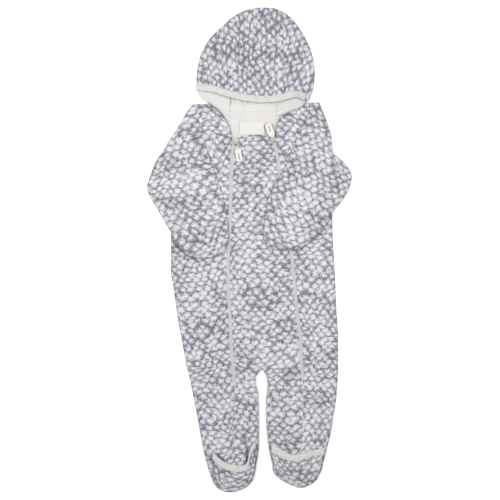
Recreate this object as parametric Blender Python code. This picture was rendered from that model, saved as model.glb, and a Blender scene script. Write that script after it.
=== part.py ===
"""Baby snowsuit with a hood, long sleeves and closed feet, laid flat on its back.

Tables and sizes are in millimetres, meshes in metres. The origin is on the surface it lies on, under the
middle of its outline. +Y points to the hood, +X to the right as seen from above, +Z up out of the cloth.
Left and right are those of the picture seen from above.
"""

import math
from collections import namedtuple

import bmesh
import bpy
from mathutils import Matrix, Vector

MM = 0.001

# Cloth and trim
FLEECE = 2.5            # thickness of the printed fleece
JERSEY = 1.2            # thickness of the plain cloth inside the hood and neck
TAPE = 1.0              # thickness of the edge binding
SEAM = 0.3              # space between two sewn pieces, and between two layers
LOFT = 3.3              # height that the front stands up off the back, away from the seams
LOFT_REACH = 34.0       # distance from the outline at which the loft is full
BINDING_WIDTH = 8.5
BINDING_FIT = 0.5       # space between a binding and the edge that it wraps
ZIP_WIDTH = 6.4
ZIP_TAPE = 0.8          # thickness of its tape
COIL_WIDTH = 3.0
COIL_HEIGHT = 2.2
LABEL = (38.0, 19.4, 0.8)
LABEL_SPOT = (4.0, 187.8)       # its middle

# Neck opening: the fronts lie level round it, clear of the cloth inside the neck
NECK_CENTRE = (13.0, 203.0)
NECK_REACH = (88.0, 62.0)
NECK_FADE = 0.4
NECK_LEVEL = 5.2

# Sleeves lie on the fronts and drop to the floor beside them
SLEEVE_LOFT = 3.0
SLEEVE_GAP = 0.4        # beside the armhole, and between the two walls of a pressed sleeve
SLEEVE_REST = 0.7       # over the fronts
SHOULDER_ROWS = 5       # rings sewn to the armhole, open towards the body
ARMHOLE_LEVEL = 176.0
SLEEVE_LEVEL = 165.0
DROP_START = 17.0
DROP_END = 33.0

# Feet
TOE_LOFT = 3.0
TOE_REACH = 20.0
FLAP_OVER_FRONT = 2.0
FLAP_DROP = 9.0

Row = namedtuple("Row", "y left right")
Side = namedtuple("Side", "y x")
Spot = namedtuple("Spot", "x y")
Ring = namedtuple("Ring", "outer_x outer_y inner_x inner_y")
Wrap = namedtuple("Wrap", "front_y fold_x fold_y back_y")

# Armhole, underarm and side seam, from the shoulder to the crotch
LEFT_SIDE = [
    Side(225.5, -83.5), Side(213, -82), Side(200.5, -78), Side(188, -75), Side(176, -72), Side(165, -69.5),
    Side(154, -78), Side(134, -95), Side(120, -114), Side(102, -118), Side(77, -120), Side(27, -121.5),
    Side(-34, -121.5), Side(-59, -117.5), Side(-84, -114), Side(-109, -110.5), Side(-133, -106),
    Side(-158, -101.5), Side(-183, -97),
]
RIGHT_SIDE = [
    Side(228, 91), Side(219, 92), Side(208.5, 90), Side(196, 84.5), Side(185, 79.5), Side(176, 75.5),
    Side(165, 72), Side(154, 86), Side(142, 109), Side(131, 126), Side(102, 127.5), Side(77, 128),
    Side(27, 128.5), Side(-34, 132), Side(-84, 134), Side(-109, 135.5), Side(-133, 137), Side(-158, 137),
    Side(-183, 137),
]
CROTCH = Spot(19.5, -183)
LEFT_LEG = [
    Row(-183, -97, 19.5), Row(-189, -95, 15.5), Row(-195, -93.5, 11), Row(-199, -92.5, 10),
    Row(-208, -90.5, 10), Row(-221, -88, 14), Row(-257, -81, 15), Row(-282, -76.5, 15),
    Row(-307, -72, 14.5), Row(-331, -66, 11), Row(-344, -62.5, 9), Row(-356, -58, 5.5),
    Row(-364, -54, 0), Row(-370, -48.5, -9.5), Row(-375, -36, -22.5),
]
RIGHT_LEG = [
    Row(-183, 19.5, 137), Row(-189, 23, 137), Row(-195, 25.5, 136.5), Row(-199, 27, 136.5),
    Row(-208, 28, 136), Row(-232, 25.5, 134), Row(-257, 25.5, 130), Row(-282, 27, 126),
    Row(-307, 30, 120), Row(-331, 35, 114), Row(-344, 37, 110.5), Row(-350, 41, 107.5),
    Row(-356, 49, 104.5), Row(-362, 60, 97.5), Row(-368, 75, 84.5),
]
LEFT_FRONT_END = -343.0
RIGHT_FRONT_END = -331.0

# Middle of each zip, and of the seam that carries on below it to the foot
ZIPS = [
    Row(174.5, -23.8, 37), Row(160, -25.2, 39.5), Row(146.5, -26.5, 42.5), Row(131, -27.5, 45.5),
    Row(108, -28.5, 48.5), Row(77, -29, 52.5), Row(46, -30, 56.5), Row(15, -31.5, 61.5), Row(-16, -33, 66),
    Row(-48, -33, 69), Row(-79, -31.5, 72), Row(-111, -29.5, 75.5), Row(-143, -28.5, 79),
    Row(-174, -26, 80.5), Row(-209, -23, 82.5), Row(-251, -25, 82.5), Row(-282, -27, 81.5),
    Row(-313, -24.5, 79.5), Row(-345, -21, 76),
]
LEFT_ZIP_END = -208.0
RIGHT_ZIP_END = -199.0
CENTER_TOP = 174.5
CENTER_ARCH = 3.2       # how much higher the centre front is in the middle of its upper edge
FACING_LOW = 160.0      # lower edge of the cloth inside the neck

# The open upper end of the left zip leans towards the middle
ZIP_LEAN = 4.0
LEAN_LEVELS = (140.0, 166.0)

# Neckline of the side fronts, down to the zips
LEFT_NECKLINE = [
    Side(225.5, -62.5), Side(220.5, -56.5), Side(214.5, -50.5), Side(208.5, -44), Side(202, -38),
    Side(197.5, -35), Side(190, -31.5), Side(180.5, -29), Side(174.5, -27.3),
]
RIGHT_NECKLINE = [
    Side(228, 89), Side(220.5, 82), Side(217.5, 75), Side(213, 62.5), Side(208.5, 53.5), Side(203.5, 47),
    Side(197.5, 44), Side(185, 41.8), Side(174.5, 40.5),
]

# Seam between hood and back neck, with the hood's free edge beyond the left shoulder
NECK_SEAM = [
    Spot(-82.3, 248), Spot(-79, 239.5), Spot(-70.5, 231.5), Spot(-62.5, 226), Spot(-45.5, 219),
    Spot(-30, 215.5), Spot(-7, 214), Spot(16, 213.8), Spot(41, 215.3), Spot(62.5, 220), Spot(78, 225),
    Spot(89, 228.5), Spot(91.5, 229.5),
]
LEFT_SHOULDER = 225.5

# Hood: its front edge, the top of its outline, and the seams beside its centre strip
HOOD_EDGE = [
    Spot(-82.3, 248), Spot(-69, 246.5), Spot(-58, 245), Spot(-45.5, 241), Spot(-30, 236.5),
    Spot(-14.5, 232.5), Spot(1, 229.7), Spot(16, 228.3), Spot(32, 228.8), Spot(42.5, 229.7),
    Spot(53, 232), Spot(62.5, 235), Spot(72, 236.5), Spot(79.5, 234.5), Spot(86, 230.8), Spot(91.5, 229.8),
]
HOOD_TOP = [Spot(-14.7, 367), Spot(2, 372.8), Spot(18.6, 375), Spot(35.3, 374.3), Spot(52, 368)]
FRONT_SEAM_LEFT = (Spot(-19.3, 234), Spot(-14.7, 367))
FRONT_SEAM_RIGHT = (Spot(53, 232), Spot(52, 368))
BACK_SEAM_LEFT = (Spot(-30, 215.5), Spot(-14.7, 367))
BACK_SEAM_RIGHT = (Spot(41, 215.3), Spot(52, 368))
HOOD_LEVEL = 5.6        # underside of the hood's front wall at its edges
HOOD_LOFT = 0.8
HOOD_REACH = 40.0
HOOD_SEAM = 0.5
LINING_TOP = 264.0      # upper edge of the lining that shows
LINING_CLEAR = 3.8      # space between the lining and the hood's folded side
HOOD_LEFT = [
    Wrap(234, -82.3, 248, 215.5), Wrap(265, -81.8, 268.5, 244), Wrap(287, -79, 289, 272),
    Wrap(309, -70.5, 312, 299.5), Wrap(327.5, -57, 331.5, 321), Wrap(343, -41, 347, 340),
    Wrap(354, -27, 359.5, 354), Wrap(360.5, -14.7, 367, 360.5),
]
HOOD_RIGHT = [
    Wrap(232, 91.5, 229.7, 215.3), Wrap(252, 98.8, 250, 240), Wrap(271, 101, 273, 264),
    Wrap(289, 99.3, 291, 286), Wrap(308, 94.5, 310, 306), Wrap(325, 86, 328, 323.5),
    Wrap(341, 75.5, 345, 340), Wrap(354, 63.5, 360, 353.5), Wrap(361.5, 52, 368, 361.5),
]

# Sleeves: the ring's outer end follows the outline, its inner end lies on the front
LEFT_SLEEVE = [
    Ring(-136, 150.5, -65, 151), Ring(-145.5, 135.5, -60.5, 135.5), Ring(-153, 117, -54, 118.5),
    Ring(-158.5, 97, -48, 101.5), Ring(-153, 80, -42, 83), Ring(-144.5, 66, -38, 67.5),
    Ring(-135.5, 50.5, -36, 52), Ring(-125.5, 33.5, -34, 36.5), Ring(-115, 15, -33, 21.5),
    Ring(-105, -0.5, -34.5, 7.5),
]
RIGHT_SLEEVE = [
    Ring(129, 151, 65.5, 152.5), Ring(141.5, 139.5, 58, 134), Ring(152, 128, 50.5, 118.5),
    Ring(158.5, 112.5, 42.5, 106), Ring(154, 94, 35, 92.5), Ring(143, 75.5, 28.5, 77),
    Ring(130.5, 60, 26.5, 61.5), Ring(120, 41.5, 24, 44.5), Ring(107.5, 26, 22.5, 27.5),
    Ring(95, 13.5, 23, 13.5),
]
LEFT_SHOULDER_LINE = [
    Side(225.5, -88), Side(213, -97), Side(200.5, -104.5), Side(188, -112), Side(176, -120), Side(165, -127),
]
RIGHT_SHOULDER_LINE = [
    Side(228, 108), Side(219, 111.5), Side(208.5, 116), Side(196, 120.5), Side(185, 124.5),
    Side(176, 126.5), Side(165, 127.5),
]
LEFT_HEM_BULGE = 16.0
RIGHT_HEM_BULGE = 14.0
HEM_POWERS = (2, 4)     # roundness of the hem's outer half, and of its inner half

# Upper edge of each foot flap
LEFT_OPENING = [
    Spot(-58, -313), Spot(-50, -322), Spot(-41, -328), Spot(-28.5, -333), Spot(-18, -334.5),
    Spot(-8.5, -331), Spot(-4, -323.5), Spot(-1.5, -313), Spot(2.5, -303.5), Spot(11.5, -294),
]
RIGHT_OPENING = [
    Spot(31.5, -302), Spot(39.5, -306.5), Spot(50, -313.5), Spot(59.5, -318.5), Spot(72, -321),
    Spot(84, -318.5), Spot(95, -315), Spot(107.5, -313), Spot(117, -310),
]

# Zip sliders: how high up the zips they are, and which way slider and pull lie, as degrees turned from
# straight up and down
SLIDER_LEVEL = 166.0
LEFT_SLIDER_TURN = -5.5
RIGHT_SLIDER_TURN = 9.5
LEFT_PULL_TURN = 11.6
RIGHT_PULL_TURN = 20.0
PULL_SLOPE = 2.0        # degrees that a lying pull slopes down to its tip
SLIDER_PLATE = 1.4
SLIDER_LIFT = 2.8       # underside of the slider's plate over the underside of the front
PIVOT_LIFT = 1.1        # turning axis over the top of the slider's plate
ARCH_HALF_LENGTH = 3.4
ARCH_WIDTH = 1.8
ARCH_BAR = 1.0
ARCH_HEIGHT = 2.2
RING_BAR = 1.0
RING_WIDTH = 7.0
RING_LENGTH = 8.0       # from the turning axis to the middle of the end bar
TAG_WIDTH = 9.2
TAG_THICKNESS = 1.6
TAG_START = 9.4
TAG_END = 30.2
TAG_NECK = 4.2
TAG_CORNER = 2.0
TAG_NECK_REACH = 1.3     # half thickness of the tag's neck, round the ring's bar

FLEECE_COLOR = (0.66, 0.65, 0.71, 1.0)
JERSEY_COLOR = (0.85, 0.83, 0.79, 1.0)
TAPE_COLOR = (0.80, 0.77, 0.71, 1.0)
ZIP_COLOR = (0.62, 0.61, 0.59, 1.0)
METAL_COLOR = (0.72, 0.72, 0.73, 1.0)
TAG_COLOR = (0.88, 0.87, 0.87, 1.0)


# Curves and distances -------------------------------------------------------------------------------------

def smooth(points, at):
    """Value at a place of the smooth curve through (place, value) points, without overshoot."""
    points = sorted(points)
    if at <= points[0][0]:
        return points[0][1]
    if at >= points[-1][0]:
        return points[-1][1]
    steps = [b[0] - a[0] for a, b in zip(points, points[1:])]
    rises = [(b[1] - a[1]) / step for a, b, step in zip(points, points[1:], steps)]
    slopes = [rises[0]]
    for before, after in zip(rises, rises[1:]):
        slopes.append(0.0 if before * after <= 0 else 2 * before * after / (before + after))
    slopes.append(rises[-1])
    i = next(k for k in range(len(steps)) if at <= points[k + 1][0])
    t = (at - points[i][0]) / steps[i]
    return (points[i][1] * (1 + 2 * t) * (1 - t) ** 2 + points[i + 1][1] * t * t * (3 - 2 * t)
            + steps[i] * (slopes[i] * t * (1 - t) ** 2 - slopes[i + 1] * t * t * (1 - t)))


def side_x(table, y):
    return smooth([(row.y, row.x) for row in table], y)


def left_x(table, y):
    return smooth([(row.y, row.left) for row in table], y)


def right_x(table, y):
    return smooth([(row.y, row.right) for row in table], y)


def edge_y(table, x):
    return smooth([(spot.x, spot.y) for spot in table], x)


def mix(a, b, t):
    return a + (b - a) * t


def ease(t):
    """0 up to t=0, 1 from t=1, level at both ends."""
    t = min(max(t, 0.0), 1.0)
    return t * t * (3 - 2 * t)


def spread(start, end, count):
    return [mix(start, end, i / (count - 1)) for i in range(count)]


def evenly_along(table, count):
    """Spots at equal steps along the smooth curve through a table of spots."""
    fine = [(x, edge_y(table, x)) for x in spread(table[0].x, table[-1].x, 201)]
    runs = [0.0]
    for a, b in zip(fine, fine[1:]):
        runs.append(runs[-1] + math.hypot(b[0] - a[0], b[1] - a[1]))
    xs = [smooth(list(zip(runs, [x for x, y in fine])), run) for run in spread(0.0, runs[-1], count)]
    return [(x, edge_y(table, x)) for x in xs]


def segment_distance(x, y, a, b):
    dx, dy = b[0] - a[0], b[1] - a[1]
    t = ((x - a[0]) * dx + (y - a[1]) * dy) / (dx * dx + dy * dy)
    t = min(max(t, 0.0), 1.0)
    return math.hypot(x - a[0] - t * dx, y - a[1] - t * dy)


def inside_distance(x, y, outline):
    """Distance to a closed outline, positive inside it."""
    inside = False
    nearest = 1e9
    for a, b in zip(outline, outline[1:] + outline[:1]):
        nearest = min(nearest, segment_distance(x, y, a, b))
        if (a[1] > y) != (b[1] > y) and x < a[0] + (y - a[1]) / (b[1] - a[1]) * (b[0] - a[0]):
            inside = not inside
    return nearest if inside else -nearest


def body_outline():
    """Outline of back and fronts together, round by the left side, the legs and the right side."""
    left = [(row.x, row.y) for row in LEFT_SIDE]
    left_leg = [(row.left, row.y) for row in LEFT_LEG] + [(row.right, row.y) for row in LEFT_LEG[::-1]]
    right_leg = [(row.left, row.y) for row in RIGHT_LEG[1:]] + [(row.right, row.y) for row in RIGHT_LEG[::-1]]
    right = [(row.x, row.y) for row in RIGHT_SIDE[-2::-1]]
    return left + left_leg[1:] + right_leg + right


def hood_outline():
    left = [(row.fold_x, row.fold_y) for row in HOOD_LEFT[:-1]]
    top = [(spot.x, spot.y) for spot in HOOD_TOP]
    right = [(row.fold_x, row.fold_y) for row in HOOD_RIGHT[-2::-1]]
    return left + top + right


BODY = body_outline()
HOOD_FOLD = hood_outline()


# Heights --------------------------------------------------------------------------------------------------

def front_floor(x, y):
    """Underside of the fronts."""
    loft = LOFT * ease(inside_distance(x, y, BODY) / LOFT_REACH)
    loft *= mix(0.4, 1.0, ease((y + 345) / 50))
    reach = math.hypot((x - NECK_CENTRE[0]) / NECK_REACH[0], (y - NECK_CENTRE[1]) / NECK_REACH[1])
    return mix(NECK_LEVEL, FLEECE + SEAM + loft, ease((reach - 1) / NECK_FADE))


def front_top(x, y):
    return front_floor(x, y) + FLEECE


def sleeve_floor(x, y):
    """Underside of the sleeves: on the fronts below the armhole, and on the floor beside them."""
    over = 1 - ease((-inside_distance(x, y, BODY) - DROP_START) / (DROP_END - DROP_START))
    over *= ease((ARMHOLE_LEVEL - y) / (ARMHOLE_LEVEL - SLEEVE_LEVEL))
    return over * (front_top(x, y) + SLEEVE_REST)


def hood_floor(x, y):
    """Underside of the hood's front wall, away from its folded outline."""
    nearest = min(segment_distance(x, y, a, b) for a, b in zip(HOOD_FOLD, HOOD_FOLD[1:]))
    return HOOD_LEVEL + HOOD_LOFT * ease(nearest / HOOD_REACH)


def flap_floor(x, y, front_end):
    """Underside of a foot flap: on the end of the front, then on the sole."""
    toe = FLEECE + SEAM + TOE_LOFT * ease(inside_distance(x, y, BODY) / TOE_REACH)
    over = ease((y - front_end + 2 * FLAP_DROP) / FLAP_DROP)
    return mix(toe, front_top(x, y) + FLAP_OVER_FRONT, over)


# Solids ---------------------------------------------------------------------------------------------------

def material(name, color, roughness, metallic=0.0):
    made = bpy.data.materials.new(name)
    made.use_nodes = True
    shader = made.node_tree.nodes["Principled BSDF"]
    shader.inputs["Base Color"].default_value = color
    shader.inputs["Roughness"].default_value = roughness
    shader.inputs["Metallic"].default_value = metallic
    made.diffuse_color = color
    return made


def add_object(name, points, faces, look):
    """Mesh object from points in millimetres; points that no face uses are dropped."""
    used = sorted({index for face in faces for index in face})
    place = {index: i for i, index in enumerate(used)}
    mesh = bpy.data.meshes.new(name)
    mesh.from_pydata([Vector(points[i]) * MM for i in used], [], [[place[i] for i in f] for f in faces])
    shape = bmesh.new()
    shape.from_mesh(mesh)
    bmesh.ops.recalc_face_normals(shape, faces=shape.faces)
    shape.to_mesh(mesh)
    shape.free()
    mesh.shade_smooth()
    mesh.set_sharp_from_angle(angle=math.radians(40))
    mesh.materials.append(look)
    made = bpy.data.objects.new(name, mesh)
    bpy.context.scene.collection.objects.link(made)
    return made


def cloth(name, outer, inner, faces, look):
    """Closed wall of cloth between outer and inner points that share one list of faces."""
    shift = len(outer)
    edges = {}
    for face in faces:
        for a, b in zip(face, face[1:] + face[:1]):
            edges[a, b] = edges.get((a, b), 0) + 1
    rim = [(a, b) for a, b in edges if (b, a) not in edges]
    walls = [[b, a, a + shift, b + shift] for a, b in rim]
    backs = [[index + shift for index in reversed(face)] for face in faces]
    return add_object(name, list(outer) + list(inner), faces + backs + walls, look)


def grid_faces(rows, columns, closed=False, skip=()):
    """Quads of a grid of points, row by row; closed joins the last column to the first."""
    faces = []
    for i in range(rows - 1):
        for j in range(columns if closed else columns - 1):
            if (i, j) in skip:
                continue
            k = (j + 1) % columns
            faces.append([i * columns + j, i * columns + k, (i + 1) * columns + k, (i + 1) * columns + j])
    return faces


def layer(name, rows, floor, thickness, look, faces=None):
    """Cloth that lies level: rows of (x, y), its underside at the height floor(x, y)."""
    flat = [spot for row in rows for spot in row]
    faces = faces or grid_faces(len(rows), len(rows[0]))
    under = [(x, y, floor(x, y)) for x, y in flat]
    upper = [(x, y, z + thickness) for x, y, z in under]
    return cloth(name, upper, under, faces, look)


def ruled(first, last, count):
    """Rows of points from one line of points to another."""
    return [[(mix(a[0], b[0], t), mix(a[1], b[1], t)) for a, b in zip(first, last)]
            for t in spread(0.0, 1.0, count)]


def between(y, left, right, columns):
    return [(x, y) for x in spread(left, right, columns)]


# Body panels ----------------------------------------------------------------------------------------------

BODY_LEVELS = [165, 154, 143, 131, 116, 102, 77, 52, 27, 0, -34, -59, -84, -109, -133, -158]
LEG_LEVELS = [-183, -189, -199, -208, -232, -257, -282, -307]


def armhole_levels(top):
    return spread(top, ARMHOLE_LEVEL, SHOULDER_ROWS)


def branch(rows, left_rows, right_rows, middle):
    """Points and faces of rows that divide into two branches at one column of their last row."""
    columns = len(rows[0])
    points = [spot for row in rows for spot in row]
    faces = grid_faces(len(rows), columns)
    last = (len(rows) - 1) * columns
    starts = [list(range(last, last + middle + 1)), list(range(last + middle, last + columns))]
    for start, leg in zip(starts, (left_rows, right_rows)):
        above = start
        for row in leg:
            below = list(range(len(points), len(points) + len(row)))
            points += row
            faces += [[a, b, d, c] for a, b, c, d in zip(above, above[1:], below, below[1:])]
            above = below
    return points, faces


def back_top(x):
    """Upper edge of the back panel: left shoulder, back neck, right shoulder."""
    if x < NECK_SEAM[3].x:
        return LEFT_SHOULDER
    return min(edge_y(NECK_SEAM, x) - SEAM, RIGHT_SIDE[0].y)


def make_back(look):
    tops = [LEFT_SIDE[0].x] + [spot.x for spot in NECK_SEAM[3:-1]] + [RIGHT_SIDE[0].x]
    rows = []
    for level, share in zip(armhole_levels(LEFT_SHOULDER), spread(0.0, 1.0, SHOULDER_ROWS)):
        high = mix(RIGHT_SIDE[0].y, ARMHOLE_LEVEL, share)
        left, right = side_x(LEFT_SIDE, level), side_x(RIGHT_SIDE, high)
        parts = [(x - tops[0]) / (tops[-1] - tops[0]) for x in tops]
        parts = [mix(part, even, share) for part, even in zip(parts, spread(0.0, 1.0, len(tops)))]
        rows.append([(mix(left, right, p), mix(back_top(x), ARMHOLE_LEVEL, share))
                     for p, x in zip(parts, tops)])
    middle = 5
    left_parts, right_parts = spread(0.0, 0.5, middle + 1), spread(0.5, 1.0, len(tops) - middle)
    evened = left_parts + right_parts[1:]
    for level in BODY_LEVELS + [CROTCH.y]:
        left, right = side_x(LEFT_SIDE, level), side_x(RIGHT_SIDE, level)
        centre = mix((left + right) / 2, CROTCH.x, ease((150 - level) / 300))
        rows.append([(mix(left, centre, 2 * p) if p <= 0.5 else mix(centre, right, 2 * p - 1), level)
                     for p in evened])
    legs = []
    for leg, count in ((LEFT_LEG, middle + 1), (RIGHT_LEG, len(tops) - middle)):
        levels = LEG_LEVELS[1:] + [row.y for row in leg if row.y < LEG_LEVELS[-1]]
        legs.append([between(y, left_x(leg, y), right_x(leg, y), count) for y in levels])
    points, faces = branch(rows, legs[0], legs[1], middle)
    under = [(x, y, 0.0) for x, y in points]
    upper = [(x, y, FLEECE) for x, y in points]
    return cloth("back_panel", upper, under, faces, look)


def zip_half(y, end):
    """Half the space between two fronts: the zip's width, narrowing to a seam below its end."""
    return mix(SEAM / 2, ZIP_WIDTH / 2 + SEAM, ease((y - end + 6) / 6))


def zip_lean(y):
    """Shift of the left zip's middle towards the centre front, near its open end."""
    low, high = LEAN_LEVELS
    return ZIP_LEAN * ease((y - low) / (high - low))


def make_fronts(look):
    legs_left = [y for y in LEG_LEVELS[1:] if y > LEFT_FRONT_END] + [-325, LEFT_FRONT_END]
    legs_right = [y for y in LEG_LEVELS[1:] if y > RIGHT_FRONT_END] + [RIGHT_FRONT_END]

    rows = []
    for y in armhole_levels(LEFT_SHOULDER) + BODY_LEVELS + [CROTCH.y] + legs_left:
        outer = side_x(LEFT_SIDE, y) if y >= CROTCH.y else left_x(LEFT_LEG, y)
        inner = side_x(LEFT_NECKLINE, y) if y > CENTER_TOP else left_x(ZIPS, y) - zip_half(y, LEFT_ZIP_END)
        rows.append(between(y, outer, inner, 6))
    layer("front_left", rows, front_floor, FLEECE, look)

    rows = []
    for y in armhole_levels(RIGHT_SIDE[0].y) + BODY_LEVELS + [CROTCH.y] + legs_right:
        outer = side_x(RIGHT_SIDE, y) if y >= CROTCH.y else right_x(RIGHT_LEG, y)
        inner = side_x(RIGHT_NECKLINE, y) if y > CENTER_TOP else right_x(ZIPS, y) + zip_half(y, RIGHT_ZIP_END)
        rows.append(between(y, inner, outer, 5))
    layer("front_right", rows, front_floor, FLEECE, look)

    rows = []
    for y in [CENTER_TOP] + BODY_LEVELS + [CROTCH.y]:
        left = left_x(ZIPS, y) + zip_lean(y) + zip_half(y, LEFT_ZIP_END)
        right = right_x(ZIPS, y) - zip_half(y, RIGHT_ZIP_END)
        centre = mix((left + right) / 2, CROTCH.x, ease((100 - y) / 283))
        rows.append(between(y, left, centre, 4) + between(y, centre, right, 4)[1:])
    rows[0] = [(x, y + CENTER_ARCH * (1 - share * share))
               for (x, y), share in zip(rows[0], spread(-1.0, 1.0, 7))]
    left_leg = [between(y, left_x(ZIPS, y) + zip_half(y, LEFT_ZIP_END), right_x(LEFT_LEG, y), 4)
                for y in legs_left]
    right_leg = [between(y, left_x(RIGHT_LEG, y), right_x(ZIPS, y) - zip_half(y, RIGHT_ZIP_END), 4)
                 for y in legs_right]
    points, faces = branch(rows, left_leg, right_leg, 3)
    layer("front_center", [points], front_floor, FLEECE, look, faces)


# Sleeves --------------------------------------------------------------------------------------------------

def sleeve_rings(side, shoulder, top, rings, sign):
    """Ring ends from the shoulder to the hem; those on the armhole stand clear of its edge."""
    levels = armhole_levels(top) + [SLEEVE_LEVEL]
    made = []
    for y in levels:
        outer_y = y if y < levels[0] else shoulder[0].y
        inner = side_x(side, y) + sign * SLEEVE_GAP
        made.append(((side_x(shoulder, y), outer_y), (inner, y)))
    made += [((ring.outer_x, ring.outer_y), (ring.inner_x, ring.inner_y)) for ring in rings]
    return made


def ring_spot(outer, inner, along, inset, bulge):
    """Point of a ring, a share of the way from its outer end to its inner end."""
    width = math.hypot(inner[0] - outer[0], inner[1] - outer[1])
    start, end = inset[0] / width, 1 - inset[1] / width
    share = mix(start, end, along)
    drop = bulge * (1 - abs(2 * share - 1) ** HEM_POWERS[share > 0.5])
    return mix(outer[0], inner[0], share), mix(outer[1], inner[1], share) - drop


def make_sleeve(name, ends, hem_bulge, look):
    steps = 7
    outer_points, inner_points = [], []
    last = len(ends) - 1
    for i, (outer, inner) in enumerate(ends):
        width = math.hypot(inner[0] - outer[0], inner[1] - outer[1])
        wall = min(FLEECE, 0.3 * width)
        loft = min(SLEEVE_LOFT, 0.08 * width)
        sewn = i < SHOULDER_ROWS
        bulge = hem_bulge * ease(1 - (last - i) / 2)
        walls = (wall, 0.0 if sewn else wall)
        spans = spread(0.0, 1.0, steps)
        round_in = (min(1.5, 0.2 * width), 0.0 if sewn else 1.5)
        for shell, points in ((0, outer_points), (1, inner_points)):
            inset = [shell * w + (1 - shell) * r for w, r in zip(walls, round_in)]
            inset = [max(a, 0.0) + (0.5 if shell and not sewn else 0.0) for a in inset]
            low, high = [], []
            for share in spans:
                x, y = ring_spot(outer, inner, share, inset, bulge)
                floor = sleeve_floor(x, y)
                rise = SLEEVE_GAP + loft * math.sin(math.pi * share) ** 0.8
                low.append((x, y, floor + shell * FLEECE))
                high.append((x, y, floor + FLEECE + rise + (1 - shell) * FLEECE))
            middle = []
            for end, share in ((1, 1.0), (0, 0.0)):
                edge = [shell * w for w in walls]
                x, y = ring_spot(outer, inner, share, edge, bulge)
                middle.append((x, y, sleeve_floor(x, y) + FLEECE + SLEEVE_GAP / 2))
            points += low + [middle[0]] + high[::-1] + [middle[1]]
    columns = 2 * steps + 2
    skip = {(i, j) for i in range(SHOULDER_ROWS) for j in (steps - 1, steps)}
    faces = grid_faces(len(ends), columns, closed=True, skip=skip)
    return cloth(name, outer_points, inner_points, faces, look)


# Hood -----------------------------------------------------------------------------------------------------

def seam_x(seam, y):
    low, high = seam
    return mix(low.x, high.x, (y - low.y) / (high.y - low.y))


def wrapped_row(front, fold, back, front_bend, back_bend):
    """Outer and inner points from the front wall's end, round the folded outline, to the back wall's end.

    The bends shift the straight runs of the two walls in y, as functions of x.
    """
    radius = (HOOD_LEVEL + FLEECE) / 2
    hollow = (HOOD_LEVEL - FLEECE) / 2
    outer, inner = [], []

    def towards(end):
        way = Vector((end[0] - fold[0], end[1] - fold[1]))
        return way.normalized()

    way = towards(front)
    centre = (fold[0] + way.x * radius, fold[1] + way.y * radius)
    for share in spread(0.0, 1.0, 7)[:-1]:
        x, y = mix(front[0], centre[0], share), mix(front[1], centre[1], share)
        y += front_bend(x)
        z = hood_floor(x, y) if share < 0.99 else HOOD_LEVEL
        outer.append((x, y, z + FLEECE))
        inner.append((x, y, z))
    for degrees in (90, 45, 0, -45, -90):
        turn = math.radians(degrees)
        for points, r in ((outer, radius), (inner, hollow)):
            x, y = centre[0] - way.x * r * math.cos(turn), centre[1] - way.y * r * math.cos(turn)
            points.append((x, y, radius + r * math.sin(turn)))
    for share in spread(0.0, 1.0, 5)[1:]:
        x, y = mix(centre[0], back[0], share), mix(centre[1], back[1], share)
        y += back_bend(x)
        outer.append((x, y, 0.0))
        inner.append((x, y, FLEECE))
    return outer, inner


def no_bend(x):
    return 0.0


def make_hood_side(name, wraps, front_seam, back_seam, sign, look):
    outer_points, inner_points = [], []
    for i, wrap in enumerate(wraps):
        front = (seam_x(front_seam, wrap.front_y) + sign * HOOD_SEAM / 2, wrap.front_y)
        back = (seam_x(back_seam, wrap.back_y) + sign * HOOD_SEAM / 2, wrap.back_y)
        fold = (wrap.fold_x + (sign * HOOD_SEAM / 2 if i == len(wraps) - 1 else 0.0), wrap.fold_y)
        fade = max(0.0, 1 - i / 3) ** 2

        def bend(x, table, lift, end, fade=fade):
            first = wraps[0]
            share = (x - end.x) / (first.fold_x - end.x)
            if share <= 0 or share >= 1:
                return 0.0
            return fade * (edge_y(table, x) + lift - mix(end.y, first.fold_y, share))

        outer, inner = wrapped_row(
            front, fold, back,
            lambda x: bend(x, HOOD_EDGE, 0.0, front_seam[0]),
            lambda x: bend(x, NECK_SEAM, SEAM, back_seam[0]))
        outer_points += outer
        inner_points += inner
    columns = len(outer_points) // len(wraps)
    return cloth(name, outer_points, inner_points, grid_faces(len(wraps), columns), look)


def make_hood_center(look):
    outer_points, inner_points = [], []
    count = 5
    for share in spread(0.0, 1.0, count):
        inward = (1 - 2 * share) * HOOD_SEAM / 2
        fold_x = mix(HOOD_TOP[0].x, HOOD_TOP[-1].x, share) + inward
        front_x = mix(FRONT_SEAM_LEFT[0].x, FRONT_SEAM_RIGHT[0].x, share) + inward
        back_x = mix(BACK_SEAM_LEFT[0].x, BACK_SEAM_RIGHT[0].x, share) + inward
        front = (front_x, edge_y(HOOD_EDGE, front_x))
        fold = (fold_x, edge_y(HOOD_TOP, fold_x))
        back = (back_x, edge_y(NECK_SEAM, back_x) + SEAM)
        outer, inner = wrapped_row(front, fold, back, no_bend, no_bend)
        outer_points += outer
        inner_points += inner
    columns = len(outer_points) // count
    return cloth("hood_center", outer_points, inner_points, grid_faces(count, columns), look)


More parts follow.
